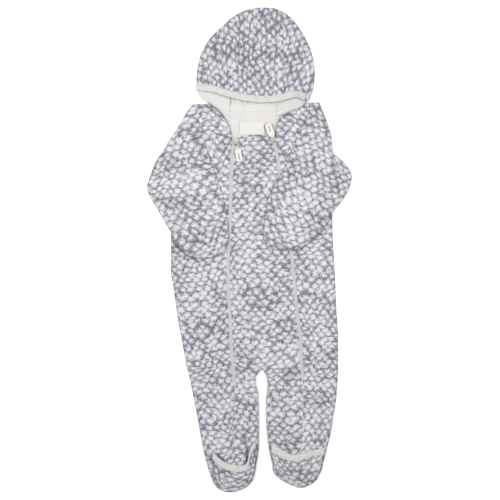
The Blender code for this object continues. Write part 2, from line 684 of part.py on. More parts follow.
def make_hood_lining(look):
    """Lining of the hood's back wall, as far up as the open front edge lets it show."""
    left = HOOD_LEFT[0].fold_x + LINING_CLEAR
    right = HOOD_RIGHT[0].fold_x
    seams = (BACK_SEAM_LEFT[0].x, BACK_SEAM_RIGHT[0].x)
    spans = (
        ("hood_lining_left", (left + 0.4, seams[0] - SEAM / 2), (left, seams[0] + 3)),
        ("hood_lining_center", (seams[0] + SEAM / 2, seams[1] - SEAM / 2), (seams[0] + 3.4, seams[1] + 3)),
        ("hood_lining_right", (seams[1] + SEAM / 2, right - 5), (seams[1] + 3.4, right + 4.5)),
    )
    for name, low, high in spans:
        lower = [(x, edge_y(NECK_SEAM, x) + 2 * SEAM) for x in spread(low[0], low[1], 7)]
        upper = [(x, LINING_TOP) for x in spread(high[0], high[1], 7)]
        layer(name, ruled(lower, upper, 3), lambda x, y: FLEECE + SEAM, JERSEY, look)


def make_neck(facing_look, label_look):
    """Inside of the back neck, tucked under the fronts, and the label on it."""
    top = [(x, edge_y(NECK_SEAM, x) - SEAM) for x in spread(-60, 86, 11)]
    bottom = [(x, FACING_LOW) for x in spread(-33, 50, 11)]
    layer("neck_facing", ruled(bottom, top, 4), lambda x, y: FLEECE + SEAM, JERSEY, facing_look)
    width, height, thickness = LABEL
    x, y = LABEL_SPOT
    rows = [between(level, x - width / 2, x + width / 2, 5)
            for level in spread(y - height / 2, y + height / 2, 3)]
    layer("neck_label", rows, lambda x, y: FLEECE + JERSEY + 2 * SEAM, thickness, label_look)


# Bindings, zips and flaps ---------------------------------------------------------------------------------

def make_binding(name, spots, inwards, floor, look):
    """Tape folded round the edge of a panel: a U-shaped section at each spot of the edge."""
    far, near = BINDING_WIDTH, -BINDING_FIT
    lip = -BINDING_FIT - TAPE
    fit, whole = BINDING_FIT, BINDING_FIT + TAPE
    profile = [
        (far, -whole), (near, -whole), (lip, -whole + 0.6), (lip, FLEECE + whole - 0.6),
        (near, FLEECE + whole), (far / 2, FLEECE + whole), (far, FLEECE + whole), (far, FLEECE + fit),
        (far / 2, FLEECE + fit),
        (near, FLEECE + fit), (near, -fit), (far, -fit),
    ]
    points = []
    for spot, inward in zip(spots, inwards):
        for a, z in profile:
            x, y = spot[0] + a * inward[0], spot[1] + a * inward[1]
            points.append((x, y, floor(x, y) + z))
    columns = len(profile)
    faces = grid_faces(len(spots), columns, closed=True)
    ends = [list(range(columns)), list(range(len(points) - columns, len(points)))]
    caps = []
    for ring in ends:
        caps += [[ring[0], ring[1], ring[10], ring[11]],
                 [ring[1], ring[2], ring[3], ring[4], ring[9], ring[10]],
                 [ring[4], ring[5], ring[8], ring[9]], [ring[5], ring[6], ring[7], ring[8]]]
    return add_object(name, points, faces + caps, look)


def normals(spots, sign):
    """Ways square to a line of spots, in its plane, longer at its corners so that offsets stay true."""
    square = []
    for a, b in zip(spots, spots[1:]):
        length = math.hypot(b[0] - a[0], b[1] - a[1])
        square.append((-sign * (b[1] - a[1]) / length, sign * (b[0] - a[0]) / length))
    found = []
    for a, b in zip(square[:1] + square, square + square[-1:]):
        share = 1 + a[0] * b[0] + a[1] * b[1]
        found.append(((a[0] + b[0]) / share, (a[1] + b[1]) / share))
    return found


def make_hood_binding(look):
    xs = spread(-77, 84, 19)
    spots = [(x, edge_y(HOOD_EDGE, x)) for x in xs]
    return make_binding("hood_binding", spots, normals(spots, 1), hood_floor, look)


def make_foot(side, leg, opening, front_end, looks):
    """Flap over the foot, and the binding of its upper edge."""
    fleece_look, tape_look = looks
    columns, count = 11, 8
    toe = leg[-1].y
    fit = BINDING_FIT + TAPE
    tops = [(x, y - fit) for x, y in evenly_along(opening, columns)]

    def floor(x, y):
        return flap_floor(x, y, front_end)

    rows = []
    for v in spread(0.0, 1.0, count):
        row = []
        for (top_x, top_y), even in zip(tops, spread(0.0, 1.0, columns)):
            left, right = left_x(leg, top_y), right_x(leg, top_y)
            share = mix((top_x - left) / (right - left), even, v * v)
            y = mix(top_y, toe, v)
            row.append((mix(left_x(leg, y), right_x(leg, y), share), y))
        rows.append(row)
    layer("foot_flap_" + side, rows, floor, FLEECE, fleece_look)

    make_binding("foot_binding_" + side, tops, normals(tops, -1), floor, tape_look)


def make_zip(name, column, end, lean, look):
    """Strip of tape with a raised coil, down the space between two fronts; lean shifts its middle."""
    tape, coil = ZIP_WIDTH / 2, COIL_WIDTH / 2
    levels = [CENTER_TOP - 1] + BODY_LEVELS + [y for y in LEG_LEVELS if y > end] + [end + SEAM]
    points = []
    for y in levels:
        shift = lean(y)
        middle = column(ZIPS, y) + shift
        profile = [(-tape - shift, 0.0), (tape, 0.0), (tape, ZIP_TAPE), (coil, ZIP_TAPE),
                   (coil * 0.6, COIL_HEIGHT), (-coil * 0.6, COIL_HEIGHT), (-coil, ZIP_TAPE),
                   (-tape - shift, ZIP_TAPE)]
        points += [(middle + a, y, front_floor(middle, y) + z) for a, z in profile]
    columns = len(profile)
    faces = grid_faces(len(levels), columns, closed=True)
    for start in (0, len(points) - columns):
        faces += [[start, start + 1, start + 2, start + 3, start + 6, start + 7],
                  [start + 3, start + 4, start + 5, start + 6]]
    return add_object(name, points, faces, look)


# Slider and pull ------------------------------------------------------------------------------------------

def block(name, size, centre, look):
    """Box object, as stock for a cut or a join."""
    half = [side / 2 for side in size]
    corners = [(centre[0] + i * half[0], centre[1] + j * half[1], centre[2] + k * half[2])
               for i in (-1, 1) for j in (-1, 1) for k in (-1, 1)]
    faces = [[0, 1, 3, 2], [4, 6, 7, 5], [0, 4, 5, 1], [2, 3, 7, 6], [0, 2, 6, 4], [1, 5, 7, 3]]
    return add_object(name, corners, faces, look)


def prism(name, outline, low, high, look):
    """Straight-sided solid on an outline in the plane."""
    count = len(outline)
    points = [(x, y, low) for x, y in outline] + [(x, y, high) for x, y in outline]
    faces = [list(range(count)), list(range(count, 2 * count))]
    faces += [[i, (i + 1) % count, (i + 1) % count + count, i + count] for i in range(count)]
    return add_object(name, points, faces, look)


def combine(body, tool, operation):
    """Join a tool to a body, or cut it from it, and drop the tool."""
    change = body.modifiers.new("combine", "BOOLEAN")
    change.operation = operation
    change.object = tool
    change.solver = "EXACT"
    bpy.context.view_layer.update()
    evaluated = body.evaluated_get(bpy.context.evaluated_depsgraph_get())
    result = bpy.data.meshes.new_from_object(evaluated)
    body.modifiers.clear()
    body.data = result
    bpy.data.objects.remove(tool, do_unlink=True)


def placed(thing, x, turn, slope=0.0):
    """Put a piece made round the turning axis where its slider is, across the zip at x."""
    height = front_floor(x, SLIDER_LEVEL) + SLIDER_LIFT + SLIDER_PLATE + PIVOT_LIFT
    matrix = Matrix.Translation(Vector((x, SLIDER_LEVEL, height)) * MM)
    matrix @= Matrix.Rotation(math.radians(turn), 4, "Z")
    matrix @= Matrix.Rotation(math.radians(slope), 4, "X")
    thing.matrix_world = matrix


def make_slider(name, look):
    """Plate with a rounded nose, two flanges beside the coil, and an arch that holds the pull."""
    top = -PIVOT_LIFT
    bottom = top - SLIDER_PLATE
    plate = [(-2.4, -5), (2.4, -5), (3.2, -4), (3.6, 1), (4.2, 3.9), (2.8, 5.6), (-2.8, 5.6), (-4.2, 3.9),
             (-3.6, 1), (-3.2, -4)]
    made = prism(name, plate, bottom, top, look)
    for sign in (-1, 1):
        flange = block("flange", (0.8, 7.0, 1.8), (sign * 2.6, 0.0, bottom - 0.7), look)
        combine(made, flange, "UNION")
    arch_height = PIVOT_LIFT + ARCH_HEIGHT
    arch = block("arch", (ARCH_WIDTH, 2 * ARCH_HALF_LENGTH, arch_height + 0.4),
                 (0.0, 0.0, ARCH_HEIGHT - (arch_height + 0.4) / 2), look)
    way = block("way", (ARCH_WIDTH + 1, 2 * (ARCH_HALF_LENGTH - ARCH_BAR), arch_height - ARCH_BAR + 0.2),
                (0.0, 0.0, ARCH_HEIGHT - ARCH_BAR - (arch_height - ARCH_BAR + 0.2) / 2), look)
    combine(arch, way, "DIFFERENCE")
    combine(made, arch, "UNION")
    return made


def make_pull_ring(name, look):
    """Flat metal ring that turns on its bar under the slider's arch, and reaches along -Y."""
    half = RING_BAR / 2
    length = RING_LENGTH + RING_BAR
    made = block(name, (RING_WIDTH, length, RING_BAR), (0.0, half - length / 2, 0.0), look)
    window = block("window", (RING_WIDTH - 2 * RING_BAR, RING_LENGTH - RING_BAR, 3 * RING_BAR),
                   (0.0, -RING_LENGTH / 2, 0.0), look)
    combine(made, window, "DIFFERENCE")
    return made


def make_pull_tag(name, look):
    """Soft rounded tag whose neck loops round the ring's end bar."""
    half, corner = TAG_WIDTH / 2, TAG_CORNER
    outline = []
    for cx, cy, start in ((half - corner, -TAG_END + corner, 270), (half - corner, -TAG_START - corner, 0),
                          (corner - half, -TAG_START - corner, 90), (corner - half, -TAG_END + corner, 180)):
        for step in range(4):
            turn = math.radians(start + 30 * step)
            outline.append((cx + corner * math.cos(turn), cy + corner * math.sin(turn)))
    made = prism(name, outline, -TAG_THICKNESS / 2, TAG_THICKNESS / 2, look)
    reach = TAG_NECK_REACH
    length = TAG_START + TAG_CORNER - RING_LENGTH + reach
    neck = block("neck", (TAG_NECK, length, 2 * reach), (0.0, -RING_LENGTH + reach - length / 2, 0.0), look)
    combine(made, neck, "UNION")
    hole = RING_BAR + 2 * SEAM
    eye = block("eye", (TAG_NECK + 2, hole, hole), (0.0, -RING_LENGTH, 0.0), look)
    combine(made, eye, "DIFFERENCE")
    return made


def make_fastening(side, x, slider_turn, pull_turn, looks):
    metal_look, tag_look = looks
    placed(make_slider("slider_" + side, metal_look), x, slider_turn)
    placed(make_pull_ring("pull_ring_" + side, metal_look), x, pull_turn, PULL_SLOPE)
    placed(make_pull_tag("pull_tag_" + side, tag_look), x, pull_turn, PULL_SLOPE)


# Whole garment --------------------------------------------------------------------------------------------

def build():
    fleece = material("printed_fleece", FLEECE_COLOR, 0.95)
    jersey = material("plain_jersey", JERSEY_COLOR, 0.9)
    tape = material("edge_binding", TAPE_COLOR, 0.85)
    chain = material("zip_tape", ZIP_COLOR, 0.7)
    metal = material("slider_metal", METAL_COLOR, 0.35, 1.0)
    tag = material("pull_tag", TAG_COLOR, 0.5)

    make_back(fleece)
    make_fronts(fleece)
    left_ends = sleeve_rings(LEFT_SIDE, LEFT_SHOULDER_LINE, LEFT_SHOULDER, LEFT_SLEEVE, -1)
    right_ends = sleeve_rings(RIGHT_SIDE, RIGHT_SHOULDER_LINE, RIGHT_SIDE[0].y, RIGHT_SLEEVE, 1)
    make_sleeve("sleeve_left", left_ends, LEFT_HEM_BULGE, fleece)
    make_sleeve("sleeve_right", right_ends, RIGHT_HEM_BULGE, fleece)
    make_hood_center(fleece)
    make_hood_side("hood_left", HOOD_LEFT, FRONT_SEAM_LEFT, BACK_SEAM_LEFT, -1, fleece)
    make_hood_side("hood_right", HOOD_RIGHT, FRONT_SEAM_RIGHT, BACK_SEAM_RIGHT, 1, fleece)
    make_hood_lining(jersey)
    make_neck(jersey, jersey)
    make_hood_binding(tape)
    make_foot("left", LEFT_LEG, LEFT_OPENING, LEFT_FRONT_END, (fleece, tape))
    make_foot("right", RIGHT_LEG, RIGHT_OPENING, RIGHT_FRONT_END, (fleece, tape))
    make_zip("zip_left", left_x, LEFT_ZIP_END, zip_lean, chain)
    make_zip("zip_right", right_x, RIGHT_ZIP_END, lambda y: 0.0, chain)
    left_slider = left_x(ZIPS, SLIDER_LEVEL) + zip_lean(SLIDER_LEVEL)
    make_fastening("left", left_slider, LEFT_SLIDER_TURN, LEFT_PULL_TURN, (metal, tag))
    right_slider = right_x(ZIPS, SLIDER_LEVEL)
    make_fastening("right", right_slider, RIGHT_SLIDER_TURN, RIGHT_PULL_TURN + 180, (metal, tag))


for old in list(bpy.data.objects):
    bpy.data.objects.remove(old, do_unlink=True)
build()
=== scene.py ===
"""Looks of a baby snowsuit of printed fleece, laid flat on its back on a pale floor.

Tables and sizes are in millimetres in the frame's own axes: +Y to the hood, +X to the right as seen from
above, +Z up out of the cloth. Meshes are in metres. Left and right are those seen from above.
"""

import math
from collections import namedtuple

import bmesh
import bpy
import numpy as np
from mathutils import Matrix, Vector


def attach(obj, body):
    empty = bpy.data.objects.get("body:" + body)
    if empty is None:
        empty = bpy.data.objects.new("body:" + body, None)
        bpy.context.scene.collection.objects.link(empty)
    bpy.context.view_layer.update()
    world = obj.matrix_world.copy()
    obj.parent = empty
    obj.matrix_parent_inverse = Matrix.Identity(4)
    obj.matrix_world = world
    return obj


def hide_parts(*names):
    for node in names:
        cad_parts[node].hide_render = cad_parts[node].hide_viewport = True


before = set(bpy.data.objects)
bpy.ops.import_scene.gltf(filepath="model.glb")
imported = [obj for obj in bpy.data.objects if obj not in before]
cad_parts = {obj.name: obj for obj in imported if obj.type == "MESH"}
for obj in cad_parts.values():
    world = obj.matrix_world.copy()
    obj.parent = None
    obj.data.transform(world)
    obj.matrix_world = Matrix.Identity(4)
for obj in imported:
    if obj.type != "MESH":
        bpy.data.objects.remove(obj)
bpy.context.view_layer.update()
MM = 0.001
GARMENT = "garment"

# Cloth
FLEECE = 2.5            # space that a layer of fleece takes
SHELL = 2.3             # thickness of its shown shell
LINING = 1.2
SEAM = 0.3
SEAM_GAP = 0.04
SEAM_LEVEL = 2.6        # height of the side seam, where front and back meet
LOFT = 3.3
LOFT_REACH = 34.0
EDGE_RADIUS = 8.0       # roundness of the outline
GRID = 4.0              # largest step between points of the cloth
GROOVE = 0.9            # depth of a sewn seam
# a fold this deep gets the full painted shade
DEEPEST = 4.5           # depth of a fold that is fully dark
GRAIN_STEP = 13.0       # length of a unit of a grain's shift
FRONT_COLUMNS = 42
COVER_LEVEL = 158.0     # level to which the body closes off the floor under the sleeves

# Neck opening
NECK_CENTRE = (13.0, 203.0)
NECK_REACH = (88.0, 62.0)
NECK_FADE = 0.4
NECK_LEVEL = 5.2
NECK_RISE = 1.6         # how much the neckline stands up above the level round it
NECK_TUCK = 2.2
NECK_STAND = 195.0      # level from which it stands up

# Sleeves
SLEEVE_LOFT = 3.4
SLEEVE_GAP = 0.4
SLEEVE_REST = 0.6
SLEEVE_DROP = 30.0      # distance beside the body over which a sleeve comes down to the floor
SLEEVE_ROUND = 5.0
ARMHOLE_LEVEL = 176.0
SLEEVE_LEVEL = 165.0

# Feet
TOE_LOFT = 3.4
TOE_REACH = 20.0
TOE_ROUND = 16.0
TOE_LEVELS = (12, 9, 6.5, 4.5, 3, 1.5, 0.6, 0)   # outline's last steps over a toe
FOOT_TOP = -262.0       # level from which the rows of a leg lie close together
FLAP_OVER_FRONT = 2.0
FLAP_DROP = 9.0

# Trim
BINDING_WIDTH = 9.2
BINDING_FIT = 0.5
TAPE = 1.1
BINDING_TOP = FLEECE + BINDING_FIT + TAPE
ZIP_WIDTH = 6.4
ZIP_COVER = 0.9         # how far a front's edge lies over the tape
COIL_PITCH = 1.55
STITCH_SHARE = 0.86     # where the stitches run across a tape
LABEL = (38.0, 19.4, 0.8)
LABEL_SPOT = (4.0, 187.8)

# Photograph: millimetres of the floor to a pixel, and the pixel over the origin
PIXEL = 1.5464
PICTURE_SIZE = 500
ORIGIN_PIXEL = (249.5, 249.75)
CAMERA_HEIGHT = 2600.0
SENSOR = 36.0

# Light, bright enough to clear the floor of shadows; the tones of the cloth are lowered to suit
EXPOSURE = 1.3
WORLD = 0.42
LIGHT_HEIGHT = 1.15
LIGHT_AHEAD = 0.2
LIGHT_SIZE = 0.6
LIGHTS = (("key", -0.7, 11.4), ("fill", 0.7, 9.9))
# Tone that painted shade darkens the cloth towards, deep in folds and beside edges; below 0 the same mix
# paints a highlight
PAINTED_SHADE_TONE = (0.18, 0.175, 0.19, 1.0)

Row = namedtuple("Row", "y left right")
Side = namedtuple("Side", "y x")
Spot = namedtuple("Spot", "x y")
Ring = namedtuple("Ring", "outer_x outer_y inner_x inner_y")
Wrap = namedtuple("Wrap", "front_y fold_x fold_y back_y")
Band = namedtuple("Band", "upper_x upper_y lower_x lower_y")
Crease = namedtuple("Crease", "x1 y1 x2 y2 width rise")
Grain = namedtuple("Grain", "turn wide tall shift")
Cut = namedtuple("Cut", "piece width length area held rests_on others")
Pull = namedtuple("Pull", "side pivot along pit")
Half = namedtuple("Half", "side sign x_of shoulder edge leg front_end zip_end neckline "
                  "shoulder_line sleeve hem_bulge inner_light band wraps front_seam back_seam "
                  "front_grain sleeve_grain hood_grain flap_grain")


def listed(kind, numbers):
    """Rows of a kind from text: commas between rows, spaces between the numbers of its columns."""
    return [kind(*map(float, row.split())) for row in numbers.split(",")]


# Armhole, underarm and side seam, from the shoulder to the crotch
LEFT_SIDE = listed(Side, """
    225.5 -83.5, 213 -82, 200.5 -78, 188 -75, 176 -72, 165 -69.5, 154 -78, 134 -95, 120 -114, 102 -118,
    77 -120, 27 -121.5, -34 -121.5, -59 -117.5, -84 -114, -109 -110.5, -133 -106, -158 -101.5, -183 -97
""")
RIGHT_SIDE = listed(Side, """
    228 91, 219 92, 208.5 90, 196 84.5, 185 79.5, 176 75.5, 165 72, 154 86, 142 109, 131 126, 102 127.5,
    77 128, 27 128.5, -34 132, -84 134, -109 135.5, -133 137, -158 137, -183 137
""")
CROTCH = Spot(19.5, -183)
LEFT_LEG = listed(Row, """
    -183 -97 19.5, -189 -95 15.5, -195 -93.5 11, -199 -92.5 10, -208 -90.5 10, -221 -88 14, -257 -81 15,
    -282 -76.5 15, -307 -72 14.5, -331 -66 11, -344 -62.5 9, -356 -58 5.5, -364 -54 0, -370 -48.5 -9.5,
    -375 -36 -22.5
""")
RIGHT_LEG = listed(Row, """
    -183 19.5 137, -189 23 137, -195 25.5 136.5, -199 27 136.5, -208 28 136, -232 25.5 134,
    -257 25.5 130, -282 27 126, -307 30 120, -331 35 114, -344 37 110.5, -350 41 107.5, -356 49 104.5,
    -362 60 97.5, -368 75 84.5
""")
LEFT_FRONT_END = -343.0
RIGHT_FRONT_END = -331.0

# Middle of each zip, and of the seam that carries on below it to the foot
ZIPS = listed(Row, """
    174.5 -23.8 37, 160 -25.2 39.5, 146.5 -26.5 42.5, 131 -27.5 45.5, 108 -28.5 48.5, 77 -29 52.5,
    46 -30 56.5, 15 -31.5 61.5, -16 -33 66, -48 -33 69, -79 -31.5 72, -111 -29.5 75.5, -143 -28.5 79,
    -174 -26 80.5, -209 -23 82.5, -251 -25 82.5, -282 -27 81.5, -313 -24.5 79.5, -345 -21 76
""")
LEFT_ZIP_END = -208.0
RIGHT_ZIP_END = -199.0
CENTER_TOP = 174.5
CENTER_ARCH = 3.2       # how much higher the centre front is in the middle of its upper edge
ZIP_LEAN = 4.0          # shift of the left zip's open upper end towards the middle
LEAN_LEVELS = (140.0, 166.0)

LEFT_NECKLINE = listed(Side, """
    225.5 -62.5, 220.5 -56.5, 214.5 -50.5, 208.5 -44, 202 -38, 197.5 -35, 190 -31.5, 180.5 -29,
    174.5 -27.3
""")
RIGHT_NECKLINE = listed(Side, """
    228 89, 220.5 82, 217.5 75, 213 62.5, 208.5 53.5, 203.5 47, 197.5 44, 185 41.8, 174.5 40.5
""")
NECK_SEAM = listed(Spot, """
    -82.3 248, -79 239.5, -70.5 231.5, -62.5 226, -45.5 219, -30 215.5, -7 214, 16 213.8, 41 215.3,
    62.5 220, 78 225, 89 228.5, 91.5 229.5
""")
LEFT_SHOULDER = 225.5
RIGHT_SHOULDER = 228.0

# Hood
HOOD_EDGE = listed(Spot, """
    -82.3 248, -69 246.5, -58 245, -45.5 241, -30 236.5, -14.5 232.5, 1 229.7, 16 228.3, 32 228.8,
    42.5 229.7, 53 232, 62.5 235, 72 236.5, 79.5 234.5, 86 230.8, 91.5 229.8
""")
HOOD_TOP = listed(Spot, "-14.7 367, 2 372.8, 18.6 375, 35.3 374.3, 52 368")
FRONT_SEAM_LEFT = (Spot(-19.3, 234), Spot(-14.7, 367))
FRONT_SEAM_RIGHT = (Spot(53, 232), Spot(52, 368))
BACK_SEAM_LEFT = (Spot(-30, 215.5), Spot(-14.7, 367))
BACK_SEAM_RIGHT = (Spot(41, 215.3), Spot(52, 368))
HOOD_LEVEL = 5.6
HOOD_LOFT = 2.6
HOOD_REACH = 40.0
HOOD_RADIUS = (HOOD_LEVEL + FLEECE) / 2
HOOD_SEAM = 0.2
HOOD_LEFT = listed(Wrap, """
    234 -82.3 248 215.5, 265 -81.8 268.5 244, 287 -79 289 272, 309 -70.5 312 299.5, 327.5 -57 331.5 321,
    343 -41 347 340, 354 -27 359.5 354, 360.5 -14.7 367 360.5
""")
HOOD_RIGHT = listed(Wrap, """
    232 91.5 229.7 215.3, 252 98.8 250 240, 271 101 273 264, 289 99.3 291 286, 308 94.5 310 306,
    325 86 328 323.5, 341 75.5 345 340, 354 63.5 360 353.5, 361.5 52 368 361.5
""")

NECK_SEAMS = (-30.0, 41.5)
HOOD_STEPS = 26
# The hood's tape gets a painted shade from here across
HOOD_SHADE = 58.0       # place across from which the hood's tape is in shade
HOOD_CENTER_WIDTH = 72.0
LINING_TOP = 264.0
FACING_LOW = 160.0

# Sleeves: the ring's outer end follows the outline, its inner end lies on the front
LEFT_SLEEVE = listed(Ring, """
    -136 150.5 -65 151, -145.5 135.5 -60.5 135.5, -153 117 -54 118.5, -158.5 97 -48 101.5,
    -153 80 -42 83, -144.5 66 -38 67.5, -135.5 50.5 -36 52, -125.5 33.5 -34 36.5, -115 15 -33 21.5,
    -105 -0.5 -34.5 7.5
""")
RIGHT_SLEEVE = listed(Ring, """
    129 151 65.5 152.5, 141.5 139.5 58 134, 152 128 50.5 118.5, 158.5 112.5 42.5 106, 154 94 35 92.5,
    143 75.5 28.5 77, 130.5 60 26.5 61.5, 120 41.5 24 44.5, 107.5 26 22.5 27.5, 95 13.5 23 13.5
""")
LEFT_SHOULDER_LINE = listed(Side, "225.5 -88, 213 -97, 200.5 -104.5, 188 -112, 176 -120, 165 -127")
RIGHT_SHOULDER_LINE = listed(Side, """
    228 108, 219 111.5, 208.5 116, 196 120.5, 185 124.5, 176 126.5, 165 127.5
""")
HEM_POWERS = (2, 4)     # roundness of the hem's outer half, and of its inner half

# Upper and lower edge of the tape on each foot flap
LEFT_BAND = listed(Band, """
    -57.1 -311.7 -57.4 -322, -52.4 -316.6 -54 -327.1, -43 -325.1 -46.7 -334.4, -36.3 -328.7 -39.4 -339,
    -28 -331.3 -30.2 -342.1, -18.7 -332.9 -17.8 -343.7, -11.9 -333.5 -9.3 -342.6,
    -7.1 -331.8 -3.6 -339.8, -3.6 -327.3 -0.8 -334.4, -2 -321.3 0.3 -326.4, -0.8 -313.8 2.2 -316.6,
    2.9 -303.5 5.3 -311.2, 6 -299.2 7.3 -308.4, 9.7 -295.4 9.9 -306.3
""")
RIGHT_BAND = listed(Band, """
    33.2 -297.9 34.3 -312.8, 43.8 -304.6 42.5 -317.9, 56.4 -312.8 54.9 -323.9, 69.9 -316.6 70.4 -327,
    84.9 -313.8 84.3 -324, 99 -309.2 98.2 -319.6, 116.8 -305.5 114.9 -315.9
""")

# Creases and ridges of the body and sleeves: a line, its half width, and how far it rises or sinks
BODY_CREASES = listed(Crease, """
    -25 -212 -27.5 -262 4 0.9, -27.8 -242 -27.1 -317 3 1.5, -23 -250 -22 -310 2.5 -1.0,
    -33 -262 -38 -306 3 -0.8, -9.3 -286 -3.9 -306.6 1.9 -3.4, -3.9 -306.6 -4.2 -328 2.3 -4.4,
    -50.3 -316 -42.5 -323.6 1.5 -2.6, -16 -276 -12 -322 5 1.0, 54.9 -297 59.5 -312 2.4 -3.6,
    59.5 -310 61.5 -316 2.2 -3.4, 52 -262 56 -294 4 -0.9, 66 -278 68 -312 5 0.9, 84 -205 82 -262 4 0.6,
    -23 -108 -22 -150 2.4 -1.3, -40 -30 -90 -48 14 -0.8, 70 -20 118 -44 15 -0.8,
    -44 -96 -98 -120 16 -0.7, 84 -110 128 -128 14 -0.8, 18 -150 -22 -186 12 -1.2,
    22 -150 62 -190 12 -1.2, -16 150 6 118 8 -0.7, 26 150 12 108 9 0.8, -24 64 30 40 16 0.8,
    -83.5 224 -83 212 1.6 -1.5, -73.5 194.5 -72.8 185 1.6 -1.6, -120.5 20 -110 2 2.6 -2.6,
    -110 2 -93 -10.5 2.2 -2.6, -93 -10.5 -82 -17 1.6 -1.5, 99.5 14 117.5 32 1.8 -2.0,
    82 5 76 2.6 1.6 -1.6, 24 16 24.6 12.6 1.7 -2.0, 33 6.6 41 0 1.4 -1.5, 82.7 194.5 78 184 1.7 -1.5,
    73.5 174.5 68.8 159 1.7 -1.4
""")
SLEEVE_CREASES = listed(Crease, """
    129 146 129.3 131 2.2 -2.8, 129.3 131 135.3 117 2.6 -2.0, 139 139 146 124 6 1.0,
    118 140 112 116 8 0.8, 96 128 60 96 9 -1.0, -134 144 -104 122 7 -1.2, -150 98 -112 92 7 1.0,
    -146 78 -108 72 8 -1.2, -84 196 -96 168 6 -1.0, 92 204 100 170 6 -1.0, -66 108 -92 76 10 -0.8,
    56 60 92 50 10 -0.8
""")
HOOD_CREASES = listed(Crease, """
    -62 290 -30 262 9 -0.8, -6 330 34 318 10 -0.7, 76 300 60 262 8 -0.8, -2 262 26 250 8 0.6,
    81 253 95 272 1.8 0.8, 75 251 90 275 1.8 -0.7, 87 251 98 264 1.6 -0.7
""")
LINING_CREASES = listed(Crease, """
    -28.6 236 -28.6 226 1.4 -1.3, -24 233 -22.5 226 1.2 -1.1, -11.5 231.5 -11 226 1.2 -1.2,
    -4.5 230.5 -3 226.5 1.2 -1.1, -17 232 -17.5 224 2.0 0.7, 34 229 33 225 1.2 -1.1,
    -58 230 -42 222 3 0.6, 60 228 46 220 3 0.6
""")

# Lie of the print on a piece, in degrees turned anticlockwise, its scale, and its shift
BODY_CENTER_GRAIN = Grain(4.0, 1.0, 1.0, (5, 53))
HOOD_CENTER_GRAIN = Grain(88.0, 1.05, 1.0, (95, 4))
PLAIN_GRAIN = Grain(0.0, 1.0, 1.0, (0, 0))

# Axis of each pull, the way it lies at rest, and the spot of painted shadow in the opening of its slider
PULLS = (
    Pull("left", (-20.621, 166.0), (0.201078, -0.979575), (-20.9, 162.3)),
    Pull("right", (38.421, 166.0), (-0.34202, 0.939693), (38.4, 166.3)),
)


# Curves ----------------------------------------

def smooth(points, at):
    """Values of the smooth curve through (place, value) points, without overshoot."""
    xs, ys = np.array(sorted(points), float).T
    steps, rises = np.diff(xs), np.diff(ys) / np.diff(xs)
    slopes = np.concatenate([rises[:1], np.zeros(len(xs) - 2), rises[-1:]])
    both = rises[:-1] + rises[1:]
    same = rises[:-1] * rises[1:] > 0
    slopes[1:-1][same] = (2 * rises[:-1] * rises[1:])[same] / both[same]
    at = np.clip(at, xs[0], xs[-1])
    i = np.clip(np.searchsorted(xs, at) - 1, 0, len(steps) - 1)
    t = (at - xs[i]) / steps[i]
    return (ys[i] * (1 + 2 * t) * (1 - t) ** 2 + ys[i + 1] * t * t * (3 - 2 * t)
            + steps[i] * (slopes[i] * t * (1 - t) ** 2 - slopes[i + 1] * t * t * (1 - t)))


def side_x(table, y):
    return smooth([(row.y, row.x) for row in table], y)


def left_x(table, y):
    return smooth([(row.y, row.left) for row in table], y)


def right_x(table, y):
    return smooth([(row.y, row.right) for row in table], y)


def edge_y(table, x):
    return smooth([(spot.x, spot.y) for spot in table], x)


def column(table, name, count):
    """One column of a table, read at even steps of the row number, with count steps to a row."""
    values = [getattr(row, name) for row in table]
    return smooth(list(enumerate(values)), np.linspace(0, len(values) - 1, (len(values) - 1) * count + 1))


def mix(a, b, t):
    return a + (b - a) * t


def ease(t):
    t = np.clip(t, 0.0, 1.0)
    return t * t * (3 - 2 * t)


def pairs(x, y):
    return np.stack([x, y], 1)


def travelled(line):
    """Distance along a line to each of its points."""
    return np.concatenate([[0.0], np.cumsum(np.hypot(*np.diff(line, axis=0).T))])


def lengths(ways):
    return np.hypot(*ways.T)[:, None]


def between(start, end, share):
    """Across and along of places between two lines of points, a row for each pair of them."""
    return [mix(start[:, k:k + 1], end[:, k:k + 1], share) for k in (0, 1)]


def beyond(line, ways, reach):
    """Across and along of places a reach away from a line of points, each along its own way."""
    return [line[:, k:k + 1] + reach * ways[:, k:k + 1] for k in (0, 1)]


def at_runs(line, runs, at):
    """Places of a line at some distances along it."""
    return pairs(*(np.interp(at, runs, line[:, k]) for k in (0, 1)))


def spread(y, x):
    """Levels of rows, for each place across them."""
    return np.broadcast_to(y[:, None], x.shape)


def bell(distance, width):
    """1 at no distance, falling off smoothly to 0."""
    return np.exp(-(distance / width) ** 2)


def steps_between(start, end, step=GRID):
    return np.linspace(start, end, max(2, int(math.ceil(abs(end - start) / step)) + 1))


def line_distance(x, y, line):
    """Distance of points to an open line of spots."""
    shape = np.shape(x)
    points = np.stack([np.ravel(x), np.ravel(y)], 1).astype(float)
    starts, ways = line[:-1], np.diff(line, axis=0)
    lengths = np.maximum((ways * ways).sum(1), 1e-9)
    nearest = []
    for part in np.array_split(points, len(points) // 4000 + 1):
        from_start = part[:, None, :] - starts
        t = np.clip((from_start * ways).sum(2) / lengths, 0.0, 1.0)
        nearest.append(np.hypot(*np.moveaxis(from_start - t[:, :, None] * ways, 2, 0)).min(1))
    return np.concatenate(nearest).reshape(shape)


def within(x, y, outline):
    """Whether points are inside a closed outline."""
    shape = np.shape(x)
    x, y = np.ravel(x)[:, None], np.ravel(y)[:, None]
    ends = np.roll(outline, -1, 0)
    sloping = outline[:, 1] != ends[:, 1]
    (ax, ay), (bx, by) = outline[sloping].T, ends[sloping].T
    crossed = ((ay > y) != (by > y)) & (x < ax + (y - ay) / (by - ay) * (bx - ax))
    return (crossed.sum(1) % 2 == 1).reshape(shape)


def signed_distance(x, y, outline):
    """Distance to a closed outline, positive inside it."""
    nearest = line_distance(x, y, np.vstack([outline, outline[:1]]))
    return np.where(within(x, y, outline), nearest, -nearest)


